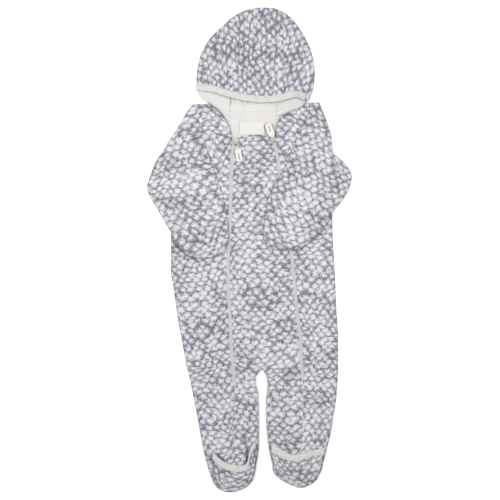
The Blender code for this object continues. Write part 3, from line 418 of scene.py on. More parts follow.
def outline_parts():
    """The silhouette from the left underarm round the legs to the right one, and the closed outline."""
    step = 6.0
    left_y = np.arange(LEFT_SHOULDER, CROTCH.y, -step)
    right_y = np.arange(CROTCH.y + step, RIGHT_SHOULDER, step)
    legs = []
    for leg in (LEFT_LEG, RIGHT_LEG):
        toe = leg[-1].y
        y = np.concatenate([np.arange(CROTCH.y, toe + 14, -step), toe + np.array(TOE_LEVELS)])
        legs += [pairs(left_x(leg, y), y), pairs(right_x(leg, y), y)[::-1]]
    left, right = pairs(side_x(LEFT_SIDE, left_y), left_y), pairs(side_x(RIGHT_SIDE, right_y), right_y)
    closed = np.vstack([left, *legs, right])
    low = closed[:, 1] < SLEEVE_LEVEL
    first, last = np.nonzero(low)[0][[0, -1]]
    return closed[first:last + 1], closed


SILHOUETTE, BODY = outline_parts()
COVERED = np.vstack([SILHOUETTE, [[SILHOUETTE[-1, 0], COVER_LEVEL], [SILHOUETTE[0, 0], COVER_LEVEL]]])
# Lines of painted shade on the lining beside the neckline, and how strong each is
NECK_SHADE = (
    (np.array([(-63.5, 226.5), (-48.2, 216.8), (-40, 206.5)]), 0.75),
    (np.array([(-40, 206.5), (-34, 198.5)]), 0.35),
    (np.array([(46, 207), (60, 212.5), (78, 218.5), (90, 229)]), 0.5),
)
# Lines beside which the fronts get a painted highlight, at the sleeves' inner edges, and how strong it is
SLEEVE_EDGE_HIGHLIGHTS = (
    (np.array([(row.x, row.y) for row in LEFT_SIDE[:6]] + [row[2:] for row in LEFT_SLEEVE]), 0.4),
    (np.array([row[2:] for row in RIGHT_SLEEVE]), 0.2),
)
# Upper parts of the necklines, along which the fronts get a painted shade
NECK_EDGE_SHADE_LINES = tuple(np.array([(row.x, row.y) for row in rows if row.y > low])
                   for rows, low in ((LEFT_NECKLINE, 198.0), (RIGHT_NECKLINE, 204.0)))
HOOD_FOLD = np.array([row[1:3] for row in HOOD_LEFT[:-1]] + HOOD_TOP
                     + [row[1:3] for row in HOOD_RIGHT[-2::-1]])
# The number after the hem's bulge is the strength of the painted highlight along a sleeve's inner edge.
HALVES = (
    Half("left", 1, left_x, LEFT_SHOULDER, LEFT_SIDE, LEFT_LEG, LEFT_FRONT_END, LEFT_ZIP_END, LEFT_NECKLINE,
         LEFT_SHOULDER_LINE, LEFT_SLEEVE, 16.0, 0.45, LEFT_BAND, HOOD_LEFT, FRONT_SEAM_LEFT, BACK_SEAM_LEFT,
         Grain(9.5, 1.0, 1.0, (31, 7)), Grain(15.0, 1.15, 1.1, (13, 90)),
         Grain(102.0, 1.05, 1.0, (8, 44)), Grain(-14.0, 1.0, 0.9, (29, 35))),
    Half("right", -1, right_x, RIGHT_SHOULDER, RIGHT_SIDE, RIGHT_LEG, RIGHT_FRONT_END, RIGHT_ZIP_END,
         RIGHT_NECKLINE, RIGHT_SHOULDER_LINE, RIGHT_SLEEVE, 14.0, 0.25, RIGHT_BAND, HOOD_RIGHT,
         FRONT_SEAM_RIGHT, BACK_SEAM_RIGHT, Grain(-3.0, 1.0, 1.0, (77, 21)),
         Grain(-28.0, 1.05, 1.05, (54, 33)), Grain(66.0, 1.1, 1.0, (63, 71)),
         Grain(4.0, 1.0, 0.9, (61, 18))),
)


# Heights ----------------------------------------

def roll(distance, radius):
    """0 at an edge, rising like a quarter circle to 1 at a radius from it."""
    return np.sqrt(np.clip(1 - (1 - np.clip(distance / radius, 0, 1)) ** 2, 0, 1))


def near_line(x, y, line, reach):
    """1 on a line, falling off to 0 beside it."""
    return bell(line_distance(x, y, line), reach)


def near_crease(x, y, crease):
    return near_line(x, y, np.array([[crease.x1, crease.y1], [crease.x2, crease.y2]]), crease.width)


def creased(x, y, creases):
    """Height of soft ridges and troughs along short lines."""
    height = np.zeros(np.shape(x))
    for crease in creases:
        height += crease.rise * near_crease(x, y, crease)
    return height


def painted_shade_of(x, y, creases, edges=(), reach=1.5):
    """Painted shade of points: how deep they lie in sharp folds, and how close they are beside the lines of
    some edges.
    """
    depth = np.zeros(np.shape(x))
    for crease in creases:
        if crease.rise < -1:
            depth = np.maximum(depth, -crease.rise / DEEPEST * near_crease(x, y, crease))
    for line, strength in edges:
        depth = np.maximum(depth, strength * near_line(x, y, line, reach))
    return depth


def rumpled(x, y, rise, seed=0.0):
    """Slight unevenness of cloth that was smoothed down by hand."""
    waves = ((61.0, 0.4), (47.0, 1.9), (83.0, 2.9), (33.0, 0.9), (38.0, 2.3), (27.0, 1.4))
    height = np.zeros(np.shape(x))
    for i, (length, turn) in enumerate(waves):
        along = x * math.cos(turn + seed) + y * math.sin(turn + seed)
        across = y * math.cos(turn + seed) - x * math.sin(turn + seed)
        phase = 1.7 * i + 3 * seed + 1.3 * np.sin(across * 2 * math.pi / (length * 2.3) + i)
        height += length / 60 * np.sin(along * 2 * math.pi / length + phase)
    return rise * height / 2.4


def front_top(x, y):
    """Upper side of the fronts: rounded down to the side seam, level round the neck."""
    loft = LOFT * ease(signed_distance(x, y, BODY) / LOFT_REACH)
    loft *= mix(0.4, 1.0, ease((y + 345) / 50))
    reach = np.hypot((x - NECK_CENTRE[0]) / NECK_REACH[0], (y - NECK_CENTRE[1]) / NECK_REACH[1])
    away = ease((reach - 1) / NECK_FADE)
    level = mix(NECK_LEVEL, FLEECE + SEAM + loft, away) + FLEECE
    level += away * (creased(x, y, BODY_CREASES) + rumpled(x, y, 0.55))
    level = np.maximum(level, 2 * FLEECE + SEAM)
    return SEAM_LEVEL + (level - SEAM_LEVEL) * roll(line_distance(x, y, SILHOUETTE), EDGE_RADIUS)


def sleeve_floor(x, y):
    """Underside of the sleeves: on the fronts, and on the floor beside them."""
    beside = -np.minimum(signed_distance(x, y, COVERED), 0)
    over = 1 - ease(beside / SLEEVE_DROP)
    return over * (front_top(x, y) + SLEEVE_REST)


def hood_top(x, y):
    """Upper side of the hood's front wall, away from its folded outline."""
    nearest = line_distance(x, y, HOOD_FOLD)
    puff = ease(nearest / HOOD_REACH)
    return HOOD_LEVEL + FLEECE + HOOD_LOFT * puff + ease(nearest / 12) * (
        creased(x, y, HOOD_CREASES) + rumpled(x, y, 0.5, 1.0))


def over_front(y, front_end):
    """1 where a foot flap lies on the front, 0 where it lies on the sole."""
    return ease((y - front_end + 2 * FLAP_DROP) / FLAP_DROP)


def flap_floor(x, y, front_end):
    """Underside of a foot flap: on the end of the front, then on the sole."""
    toe = FLEECE + SEAM + TOE_LOFT * ease(signed_distance(x, y, BODY) / TOE_REACH)
    return mix(toe, front_top(x, y) + FLAP_OVER_FRONT, over_front(y, front_end))


# Cloth meshes ----------------------------------------

def stack(x, y, z):
    return np.stack(np.broadcast_arrays(x, y, z), -1).astype(float)


def turned(flat, grain):
    """Flat places turned, sized and moved to a piece's lie of the print."""
    turn = math.radians(-grain.turn)
    matrix = np.array([[math.cos(turn), math.sin(turn)], [-math.sin(turn), math.cos(turn)]])
    return flat @ matrix / (grain.wide, grain.tall) + np.array(grain.shift) * GRAIN_STEP


def unrolled(points, anchor, grain=PLAIN_GRAIN, ways=((1.0, 0.0),)):
    """Flat places of a grid of points on the uncut cloth, in millimetres.

    Each row is rolled out along its own way, in the plane, from its point in the anchor column.
    """
    runs = np.linalg.norm(np.diff(points, axis=1), axis=2)
    runs = np.concatenate([np.zeros((len(points), 1)), np.cumsum(runs, axis=1)], axis=1)
    runs -= runs[:, anchor:anchor + 1]
    along = runs[:, :, None] * np.asarray(ways, float)[:, None, :]
    return turned(points[:, anchor:anchor + 1, :2] + along, grain)


def placed(name, data):
    """A new object of some data, in the scene."""
    made = bpy.data.objects.new(name, data)
    bpy.context.scene.collection.objects.link(made)
    return made


def small_mesh(name, points, faces, look):
    mesh = bpy.data.meshes.new(name)
    mesh.from_pydata(points, [], faces)
    mesh.materials.append(look)
    return mesh


def cloth(name, slot, node, grids, looks, thickness=SHELL, flip=False, skip=None):
    """Closed shell of cloth from grids of its outer side; the grids are sewn where their points meet.

    A grid is its points, their flat places, and how much painted shade each of them takes, from 0 to 1,
    deep in folds and beside edges, or below 0 where it takes a painted highlight.
    """
    points, quads, spots, depths, base = [], [], [], [], 0
    for xyz, uv, *depth in grids:
        rows, columns = xyz.shape[:2]
        index = base + np.arange(rows * columns).reshape(rows, columns)
        quad = np.stack([index[:-1, :-1], index[1:, :-1], index[1:, 1:], index[:-1, 1:]], -1)
        if skip is not None:
            quad = quad[~skip(rows - 1, columns - 1)]
        quad = quad.reshape(-1, 4)
        points.append(xyz.reshape(-1, 3))
        spots.append(uv.reshape(-1, 2))
        depths.append(np.clip(depth[0], -1, 1).ravel() if depth else np.zeros(rows * columns))
        quads.append(quad[:, ::-1] if flip else quad)
        base += rows * columns
    points, spots, quads = np.vstack(points), np.vstack(spots), np.vstack(quads)
    mesh = bpy.data.meshes.new(name)
    mesh.from_pydata((points * MM).tolist(), [], quads.tolist())
    flat = mesh.uv_layers.new(name="cut")
    flat.data.foreach_set("uv", (spots[quads.ravel()] * MM).ravel())
    mesh.attributes.new("fold", "FLOAT", "POINT").data.foreach_set("value", np.concatenate(depths))
    shape = bmesh.new()
    shape.from_mesh(mesh)
    bmesh.ops.remove_doubles(shape, verts=shape.verts, dist=2e-5)
    bmesh.ops.delete(shape, geom=[v for v in shape.verts if not v.link_faces], context="VERTS")
    shape.to_mesh(mesh)
    shape.free()
    for look in looks:
        mesh.materials.append(look)
    piece = placed(name, mesh)
    solid = piece.modifiers.new("thickness", "SOLIDIFY")
    solid.thickness = thickness * MM
    solid.offset = -1.0
    solid.material_offset = 1 if len(looks) > 1 else 0
    return fit_out(settle(piece), slot, node)


def settle(piece):
    """Turn a piece's modifiers into its own mesh, with smooth shading."""
    bpy.context.view_layer.update()
    evaluated = piece.evaluated_get(bpy.context.evaluated_depsgraph_get())
    mesh = bpy.data.meshes.new_from_object(evaluated)
    piece.modifiers.clear()
    piece.data = mesh
    mesh.name = piece.name
    mesh.shade_smooth()
    mesh.set_sharp_from_angle(angle=math.radians(50))
    return piece


def fit_out(piece, slot, *nodes, body=GARMENT):
    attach(piece, body)
    if nodes:
        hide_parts(*nodes)
    return piece


def across(left, right, count, edges=(True, True)):
    """Places across a panel, close together by its rounded edges, in a row for each left and right."""
    t = np.linspace(0.0, 1.0, count)
    start = 0.5 * (1 - np.cos(math.pi * t)) if edges[0] and edges[1] else t
    if edges[0] and not edges[1]:
        start = 1 - np.cos(t * math.pi / 2)
    if edges[1] and not edges[0]:
        start = np.sin(t * math.pi / 2)
    share = mix(t, start, 0.75)
    left, right = np.asarray(left, float)[:, None], np.asarray(right, float)[:, None]
    return left + (right - left) * share


def in_halves(left, centre, right, count):
    """Places across a panel whose halves meet at a centre line."""
    near, far = across(left, centre, count, (True, False)), across(centre, right, count, (False, True))
    return np.concatenate([near, far[:, 1:]], axis=1)


# Body panels ----------------------------------------

def zip_half(y, end):
    """Half the opening over a zip; below the zip its edges meet in a seam."""
    return mix(SEAM_GAP / 2, ZIP_WIDTH / 2 - ZIP_COVER, ease((y - end + 5) / 6))


def zip_tuck(y, end):
    """How far a front's edge turns down: well beside the zip, hardly at the seam below it."""
    return mix(0.35, 1.0, ease((y - end + 5) / 6))


def zip_lean(y):
    """Shift of the left zip's middle towards the centre front, near its open end."""
    low, high = LEAN_LEVELS
    return ZIP_LEAN * ease((y - low) / (high - low))


def down_leg(end):
    """Rows from the crotch down a leg, close together where the foot's folds are."""
    return np.concatenate([steps_between(CROTCH.y, FOOT_TOP), steps_between(FOOT_TOP, end, 1.8)[1:]])


def toe_levels(start, toe):
    """Rows down to a toe, closer together where it rounds off."""
    run = start - toe
    t = np.linspace(0, 1, max(4, int(run / GRID) + 1))
    return start - run * np.sin(t * math.pi / 2) ** 0.9


def tucked(x, z, edge, drop=1.0, width=2.0):
    """Height z rounded down at a folded edge that lies at x = edge."""
    return z - drop * (1 - roll(np.abs(x - edge), width))


def make_fronts(looks):
    """Left and right fronts, from the neckline to the foot, outside the zips."""
    for half in HALVES:
        y = np.concatenate([steps_between(half.shoulder, CROTCH.y, 3.0), down_leg(half.front_end)[1:]])
        outer = np.where(y >= CROTCH.y, side_x(half.edge, y), half.x_of(half.leg, y))
        seam = half.x_of(ZIPS, y) - half.sign * zip_half(y, half.zip_end)
        inner = np.where(y > CENTER_TOP, side_x(half.neckline, y), seam)
        x = across(*((outer, inner) if half.sign > 0 else (inner, outer)), FRONT_COLUMNS)
        rows = spread(y, x)
        neck = ease((rows - NECK_STAND) / 12)
        z = front_top(x, rows) + neck * NECK_RISE * bell(x - inner[:, None], 6.0)
        drop = mix(zip_tuck(rows, half.zip_end), NECK_TUCK, neck)
        z = tucked(x, z, inner[:, None], drop, mix(2.0, 1.5, neck))
        z = z - ease((rows - SLEEVE_LEVEL) / 8) * GROOVE * bell(x - outer[:, None], 2.2)
        # Painted shade along the outline, the upper necklines and in creases; painted highlight beside the
        # sleeves' inner edges
        depth = painted_shade_of(x, rows, BODY_CREASES, [(line, 0.3) for line in (SILHOUETTE, *NECK_EDGE_SHADE_LINES)])
        for line, strength in SLEEVE_EDGE_HIGHLIGHTS:
            depth = depth - strength * near_line(x, rows, line, 2.2)
        grid = stack(x, rows, z)
        cloth("shell_front_" + half.side, "fleece", "front_" + half.side,
              [(grid, unrolled(grid, FRONT_COLUMNS // 2, half.front_grain), depth)], looks)


def make_center(looks):
    """Centre front, dividing at the crotch into the inner halves of both legs."""
    count = 24
    y = steps_between(CENTER_TOP, CROTCH.y, 3.0)
    left = left_x(ZIPS, y) + zip_lean(y) + zip_half(y, LEFT_ZIP_END)
    right = right_x(ZIPS, y) - zip_half(y, RIGHT_ZIP_END)
    x = in_halves(left, mix((left + right) / 2, CROTCH.x, ease((100 - y) / 283)), right, count)
    share = (x - left[:, None]) / (right - left)[:, None]
    arch = CENTER_ARCH * (1 - (2 * share - 1) ** 2)
    rows = y[:, None] + arch * ease(1 - (CENTER_TOP - y[:, None]) / 26)
    z = tucked(x, front_top(x, rows), left[:, None], zip_tuck(rows, LEFT_ZIP_END))
    z = tucked(x, z, right[:, None], zip_tuck(rows, RIGHT_ZIP_END))
    z = z - 1.1 * (1 - roll(CENTER_TOP + arch - rows, 2.2))
    body = stack(x, rows, z)
    grids = [(body, unrolled(body, count - 1, BODY_CENTER_GRAIN))]
    for half in HALVES:
        y = down_leg(half.front_end)
        zipped = half.x_of(ZIPS, y) + half.sign * zip_half(y, half.zip_end)
        ends = (zipped, right_x(half.leg, y)) if half.sign > 0 else (left_x(half.leg, y), zipped)
        x = across(*ends, count)
        rows = spread(y, x)
        z = tucked(x, front_top(x, rows), zipped[:, None], zip_tuck(rows, half.zip_end))
        panel = stack(x, rows, z)
        uv = unrolled(panel, 0 if half.sign < 0 else count - 1, BODY_CENTER_GRAIN)
        # The legs get painted shade along the outline and in creases
        grids.append((panel, uv, painted_shade_of(x, rows, BODY_CREASES, [(SILHOUETTE, 0.3)])))
    cloth("shell_front_center", "fleece", "front_center", grids, looks)


def back_z(x, y):
    """Underside of the back: flat on the floor, rounded up to the side seam."""
    return (SEAM_LEVEL - 0.15) * (1 - roll(line_distance(x, y, SILHOUETTE), 4.0))


def make_back(looks):
    """Back with both legs and soles in one piece, seen from its outer side, which lies on the floor."""
    count = 22
    seam_start = NECK_SEAM[3].x
    tops = np.concatenate([np.linspace(LEFT_SIDE[0].x, seam_start, 7)[:-1],
                           np.linspace(seam_start, 89, 34), [RIGHT_SIDE[0].x]])
    below_seam = np.minimum(edge_y(NECK_SEAM, tops) - SEAM, RIGHT_SHOULDER)
    top_y = np.where(tops < seam_start, LEFT_SHOULDER, below_seam)
    columns = 2 * count - 1
    share = np.linspace(0, 1, columns)
    line = np.interp(share, np.linspace(0, 1, len(tops)), tops)
    line_y = np.interp(share, np.linspace(0, 1, len(tops)), top_y)
    rows_x, rows_y = [], []
    for t in np.linspace(0, 1, 14)[:-1]:
        left, right = (side_x(half.edge, mix(half.shoulder, ARMHOLE_LEVEL, t)) for half in HALVES)
        part = mix((line - line[0]) / (line[-1] - line[0]), share, t)
        rows_x.append(mix(left, right, part))
        rows_y.append(mix(line_y, ARMHOLE_LEVEL, t))
    y = steps_between(ARMHOLE_LEVEL, CROTCH.y)
    left, right = side_x(LEFT_SIDE, y), side_x(RIGHT_SIDE, y)
    x = in_halves(left, mix((left + right) / 2, CROTCH.x, ease((150 - y) / 300)), right, count)
    fade = ease((ARMHOLE_LEVEL - y) / 20)[:, None]
    x = mix(np.asarray(mix(left[:, None], right[:, None], share[None, :])), x, fade)
    x = np.vstack([rows_x, x])
    rows = np.vstack([rows_y, np.broadcast_to(y[:, None], (len(y), columns))])
    body = stack(x, rows, back_z(x, rows))
    grids = [(body, unrolled(body, count - 1, BODY_CENTER_GRAIN))]
    for leg, edges, anchor in ((LEFT_LEG, (True, False), count - 1), (RIGHT_LEG, (False, True), 0)):
        y = np.concatenate([steps_between(CROTCH.y, -300), toe_levels(-300, leg[-1].y)[1:]])
        x = across(left_x(leg, y), right_x(leg, y), count, edges)
        rows = spread(y, x)
        panel = stack(x, rows, back_z(x, rows))
        grids.append((panel, unrolled(panel, anchor, BODY_CENTER_GRAIN)))
    cloth("shell_back", "fleece", "back_panel", grids, looks, flip=True)


# Sleeves ----------------------------------------

def sleeve_ends(half):
    """Outer and inner ends of a sleeve's rings, finely spaced, and how many are sewn to the armhole."""
    sewn = steps_between(half.shoulder, SLEEVE_LEVEL, 3.5)
    outer, inner = (pairs(side_x(edge, sewn), sewn) for edge in (half.shoulder_line, half.edge))
    rings = [Ring(*outer[-1], *inner[-1])] + half.sleeve
    free = [column(rings, name, 5)[1:] for name in Ring._fields]
    return np.vstack([outer, pairs(*free[:2])]), np.vstack([inner, pairs(*free[2:])]), len(sewn)


def make_sleeve(half, looks):
    """Tube pressed flat, sewn to the armhole and laid over the front."""
    outer, inner, sewn = sleeve_ends(half)
    count = len(outer)
    widths = lengths(inner - outer)
    index = np.arange(count)[:, None]
    arc = 1 - np.cos(np.linspace(0, math.pi / 2, 7))
    start = np.minimum(arc * SLEEVE_ROUND / widths, 0.45)
    end = np.where(index < sewn, 0.6, 1.0) * start
    flat = np.linspace(0, 1, 25)
    level = mix(start[:, -1:], 1 - end[:, -1:], flat)
    share = np.concatenate([start[:, :-1], level, 1 - end[:, -2::-1]], axis=1)
    columns = share.shape[1]
    drop = half.hem_bulge * ease(1 - (count - 1 - index) / 9.0) * (
        1 - np.abs(2 * share - 1) ** np.where(share > 0.5, HEM_POWERS[1], HEM_POWERS[0]))
    x, y = between(outer, inner, share)
    y = y - drop
    floor = sleeve_floor(x, y)
    near = widths * np.where(index < sewn, share, np.minimum(share, 1 - share))
    swell = np.minimum(SLEEVE_LOFT, 0.06 * widths) * np.sin(math.pi * share) ** 0.8
    height = 2 * FLEECE + SLEEVE_GAP + swell
    turn = roll(near, SLEEVE_ROUND)
    uneven = (creased(x, y, SLEEVE_CREASES) + rumpled(x, y, 0.5, 2.0)) * roll(near, 14.0)
    up = floor + height / 2 * (1 + turn) + uneven
    up -= np.where(index < sewn, GROOVE * bell(widths * (1 - share), 2.6), 0.0)
    hem = 1 - 0.3 * ease((index - count + 3) / 2.0)
    top = stack(x, y, floor + (up - floor) * hem)
    low = stack(x, y, floor + height / 2 * (1 - turn))
    # Painted shade in creases and along the outer edge, and a painted highlight along the free inner edge
    depth = np.maximum(painted_shade_of(x, y, SLEEVE_CREASES), 0.25 * bell(widths * share, 1.5))
    depth = depth - half.inner_light * bell(widths * (1 - share), 1.8)
    ring = np.concatenate([top, low[:, -2:0:-1], top[:, :1]], axis=1)
    ring[:sewn, columns] = low[:sewn, -1]
    depth = np.concatenate([depth, np.zeros((count, columns - 2)), depth[:, :1]], axis=1)
    ways = (inner - outer) / widths

    def armhole(rows, cells):
        gap = np.zeros((rows, cells), bool)
        gap[:sewn - 1, columns - 1] = True
        return gap

    drops = np.concatenate([drop, drop[:, -2:0:-1], drop[:, :1]], axis=1)
    raised = ring.copy()
    raised[..., 1] += drops
    uv = unrolled(raised, columns // 2, ways=ways)
    uv[..., 1] -= drops
    uv = turned(uv, half.sleeve_grain)
    cloth("shell_sleeve_" + half.side, "fleece", "sleeve_" + half.side, [(ring, uv, depth)], looks,
          flip=half.sign < 0, skip=armhole)


# Hood ----------------------------------------

def seam_x(seam, y):
    low, high = seam
    return mix(low.x, high.x, (y - low.y) / (high.y - low.y))


def seam_groove(distance):
    return 0.6 * bell(distance, 1.4)


def wrapped_rows(front, fold, back, front_bend, back_bend, seam_side):
    """Outer side of a folded panel: rows from the front wall, round the fold, to the back wall."""
    radius = HOOD_RADIUS
    way = fold - front
    length = lengths(way)
    way = way / length
    centre = fold - way * radius
    share = np.linspace(0, 1, HOOD_STEPS)[:-1]
    x, y = between(front, centre, share)
    y = y + front_bend(x)
    z = mix(2 * radius, hood_top(x, y), ease((1 - share) * length / 10))
    z = z - seam_side * seam_groove(share * length)
    grids = [stack(x, y, z)]
    turns = np.radians(np.linspace(90, -90, 13))
    out_x, out_y = beyond(centre, way * radius, np.cos(turns))
    grids.append(stack(out_x, out_y, radius + radius * np.sin(turns)))
    share = np.linspace(0, 1, 20)[1:]
    x, y = between(centre, back, share)
    grids.append(stack(x, y + back_bend(x), np.zeros_like(x)))
    return np.concatenate(grids, axis=1), way


def make_hood_side(half, looks):
    wraps, outward = half.wraps, -half.sign * HOOD_SEAM / 2
    front_y, fold_x, fold_y, back_y = (column(wraps, field, 5) for field in Wrap._fields)
    rows = np.linspace(0, len(wraps) - 1, len(front_y))
    front = pairs(seam_x(half.front_seam, front_y) + outward, front_y)
    back = pairs(seam_x(half.back_seam, back_y) + outward, back_y)
    fold = pairs(fold_x, fold_y)
    fold[-1, 0] += outward
    fade = (np.clip(1 - rows / 3, 0, 1) ** 2)[:, None]
    first = wraps[0]

    def bend(x, table, lift, end):
        share = (x - end.x) / (first.fold_x - end.x)
        wanted = edge_y(table, x) + lift - mix(end.y, first.fold_y, share)
        return fade * np.where((share > 0) & (share < 1), wanted, 0.0)

    grid, way = wrapped_rows(front, fold, back, lambda x: bend(x, HOOD_EDGE, 0.0, half.front_seam[0]),
                             lambda x: bend(x, NECK_SEAM, SEAM, half.back_seam[0]), 1.0)
    cloth("shell_hood_" + half.side, "fleece", "hood_" + half.side,
          [(grid, unrolled(grid, 6, half.hood_grain, way))], looks, flip=half.sign < 0)


def make_hood_center(looks):
    share = np.linspace(0, 1, 19)
    inward = (1 - 2 * share) * HOOD_SEAM / 2
    fold_x = mix(HOOD_TOP[0].x, HOOD_TOP[-1].x, share) + inward
    front_x = mix(FRONT_SEAM_LEFT[0].x, FRONT_SEAM_RIGHT[0].x, share) + inward
    back_x = mix(BACK_SEAM_LEFT[0].x, BACK_SEAM_RIGHT[0].x, share) + inward
    front = pairs(front_x, edge_y(HOOD_EDGE, front_x))
    fold = pairs(fold_x, edge_y(HOOD_TOP, fold_x))
    back = pairs(back_x, edge_y(NECK_SEAM, back_x) + SEAM)
    grid, way = wrapped_rows(front, fold, back, np.zeros_like, np.zeros_like, 0.0)
    grid[:, :HOOD_STEPS, 2] -= seam_groove(np.minimum(share, 1 - share)[:, None] * HOOD_CENTER_WIDTH)
    cloth("shell_hood_center", "fleece", "hood_center",
          [(grid, unrolled(grid, 6, HOOD_CENTER_GRAIN, way))], looks)


def lining_top(x, y, seam_y, left, right):
    """Upper side of the lining, and how deep it dips at the neck seam, between two places across."""
    relief = np.clip(creased(x, y, LINING_CREASES) + rumpled(x, y, 0.28, 3.0), -0.5, 1.1)
    dip = ease((x - left) / 4) * ease((right - x) / 4) * 0.35 * bell(seam_y, 1.0)
    return FLEECE + SEAM + LINING + relief, dip


def lay_lining(name, node, x, y, z, shade, look):
    grid = stack(x, y, z)
    # Painted shade in creases, along the neckline and as much again as given
    depth = painted_shade_of(x, y, LINING_CREASES, NECK_SHADE) + shade
    cloth(name, "lining", node, [(grid, unrolled(grid, 0), depth)], [look], thickness=LINING - 0.2)


def make_hood_lining(side_look, center_look):
    """Lining of the hood's back wall, as far up as the open front edge lets it show."""
    left, right = HOOD_LEFT[0].fold_x + 3.4, HOOD_RIGHT[0].fold_x
    seams = (seam_x(BACK_SEAM_LEFT, 216), seam_x(BACK_SEAM_RIGHT, 216))
    spans = (
        ("left", side_look, (left + 0.2, seams[0]), (left, seams[0] + 3), (0, 1)),
        ("center", center_look, (seams[0], seams[1]), (seams[0] + 3, seams[1] + 3), (1, 1)),
        ("right", side_look, (seams[1], right - 5), (seams[1] + 3, right + 4.5), (1, 0)),
    )
    for side, look, low, high, sewn in spans:
        t = np.linspace(0, 1, 34)[:, None]
        s = (1 - np.cos(np.linspace(0, math.pi, 40))) / 2
        low_x, high_x = mix(low[0], low[1], s), mix(high[0], high[1], s)
        corner = 2.5 * (side == "left") * (1 - s) ** 4
        x = mix(high_x, low_x, t) - corner * t ** 6
        low_y = edge_y(NECK_SEAM, low_x - corner) + SEAM_GAP
        y = mix(LINING_TOP, low_y, t)
        z, dip = lining_top(x, y, y - low_y, seams[0] - 2, seams[1] + 2)
        span = low[1] - low[0]
        # dark: painted shade along the sewn seams, stronger higher up; the panels also get a slight even
        # painted shade, more on the right one, where shadow falls on it
        dark = 0.0
        for edge, place in zip(sewn, (s * span, (1 - s) * span)):
            z = z - edge * GROOVE * bell(place, 0.8)
            dark = dark + edge * 0.22 * ease((y - 214) / 16) * bell(place, 0.9)
        lay_lining("shell_lining_" + side, "hood_lining_" + side, x, y, z - dip,
                   (0.08 if side == "right" else 0.03) + dark, look)


def make_neck(look):
    """Inside of the back neck, tucked under the fronts."""
    s = np.linspace(0, 1, 100)
    top_x = mix(-60, 86, s)
    top_y = edge_y(NECK_SEAM, top_x) - SEAM_GAP
    t = np.linspace(0, 1, 26)[:, None]
    x, y = mix(top_x, mix(-33, 50, s), t), mix(top_y, FACING_LOW, t)
    z, dip = lining_top(x, y, top_y - y, -32, 43.5)
    z = z - dip
    # dark: a slight even painted shade, and painted shade along the seams
    dark = 0.03
    for seam in NECK_SEAMS:
        z = z - GROOVE * bell(x - seam, 0.9)
        dark = dark + 0.14 * bell(x - seam, 0.9)
    lay_lining("shell_neck_facing", "neck_facing", x, y, z, dark, look)


def make_label(looks):
    width, height, thickness = LABEL
    x, y = np.meshgrid(LABEL_SPOT[0] + np.linspace(-0.5, 0.5, 24) * width,
                       LABEL_SPOT[1] - np.linspace(-0.5, 0.5, 14) * height)
    edge = np.minimum(width / 2 - np.abs(x - LABEL_SPOT[0]), height / 2 - np.abs(y - LABEL_SPOT[1]))
    z = FLEECE + LINING + 2 * SEAM + thickness + 0.3 * roll(edge, 3)
    grid = stack(x, y, z + np.clip(rumpled(x, y, 0.2, 5.0), -0.2, 0.3))
    cloth("shell_neck_label", "neck_label", "neck_label", [(grid, unrolled(grid, 0))], looks,
          thickness=thickness)


# Bindings ----------------------------------------

def even_edges(rows, step):
    """Upper and lower edge of a tape at even steps along its middle."""
    upper, lower = (pairs(column(rows, edge + "_x", 8), column(rows, edge + "_y", 8))
                    for edge in ("upper", "lower"))
    runs = travelled((upper + lower) / 2)
    at = steps_between(0, runs[-1], step)
    return at_runs(upper, runs, at), at_runs(lower, runs, at)


def make_binding(name, upper, lower, floor, looks, node, flip=False, dim_from=math.inf):
    """Knitted tape folded round a panel's edge, puckered by its stitching, with a painted shade past x =
    dim_from.
    """
    widths = lengths(lower - upper)
    ways = (lower - upper) / widths
    whole, top = BINDING_FIT + TAPE, BINDING_TOP
    above = [(1, 0, FLEECE + 0.3), (1, -0.4, top - 0.2), (0.75, 0, top + 0.2), (0.5, 0, top + 0.35),
             (0.25, 0, top + 0.3), (0, 0.6, top)]
    turns = np.radians(np.linspace(60, -60, 6))
    fold = [(0, 0.9 * (1 - math.cos(turn)), FLEECE / 2 + top / 1.9 * math.sin(turn)) for turn in turns]
    below = [(0, 0.6, -whole), (0.5, 0, -whole), (1, -0.5, -whole)]
    share, extra, height = np.array(above + fold + below).T
    middle = (upper + lower) / 2
    runs = travelled(middle)[:, None]
    pucker = 1 + 0.03 * np.sin(runs * 0.9) + 0.03 * np.sin(runs * 0.31 + 1)
    reach = widths * share * pucker + extra
    x, y = beyond(upper, ways, reach)
    ends = 1 - ease(np.minimum(runs, runs[-1] - runs) / 1.6)
    height = height + (height > FLEECE) * (0.12 * np.sin(runs * 0.8) - 1.9 * ends)
    base = floor(middle[:, :1], middle[:, 1:])
    grid = stack(x, y, mix(base, floor(x, y), 0.75) + height)
    uv = np.stack(np.broadcast_arrays(runs, reach), -1)
    # Painted shade past x = dim_from
    depth = 0.13 * ease((x - dim_from) / 20)
    cloth(name, "binding", node, [(grid, uv, depth)], looks, thickness=0.7, flip=flip)


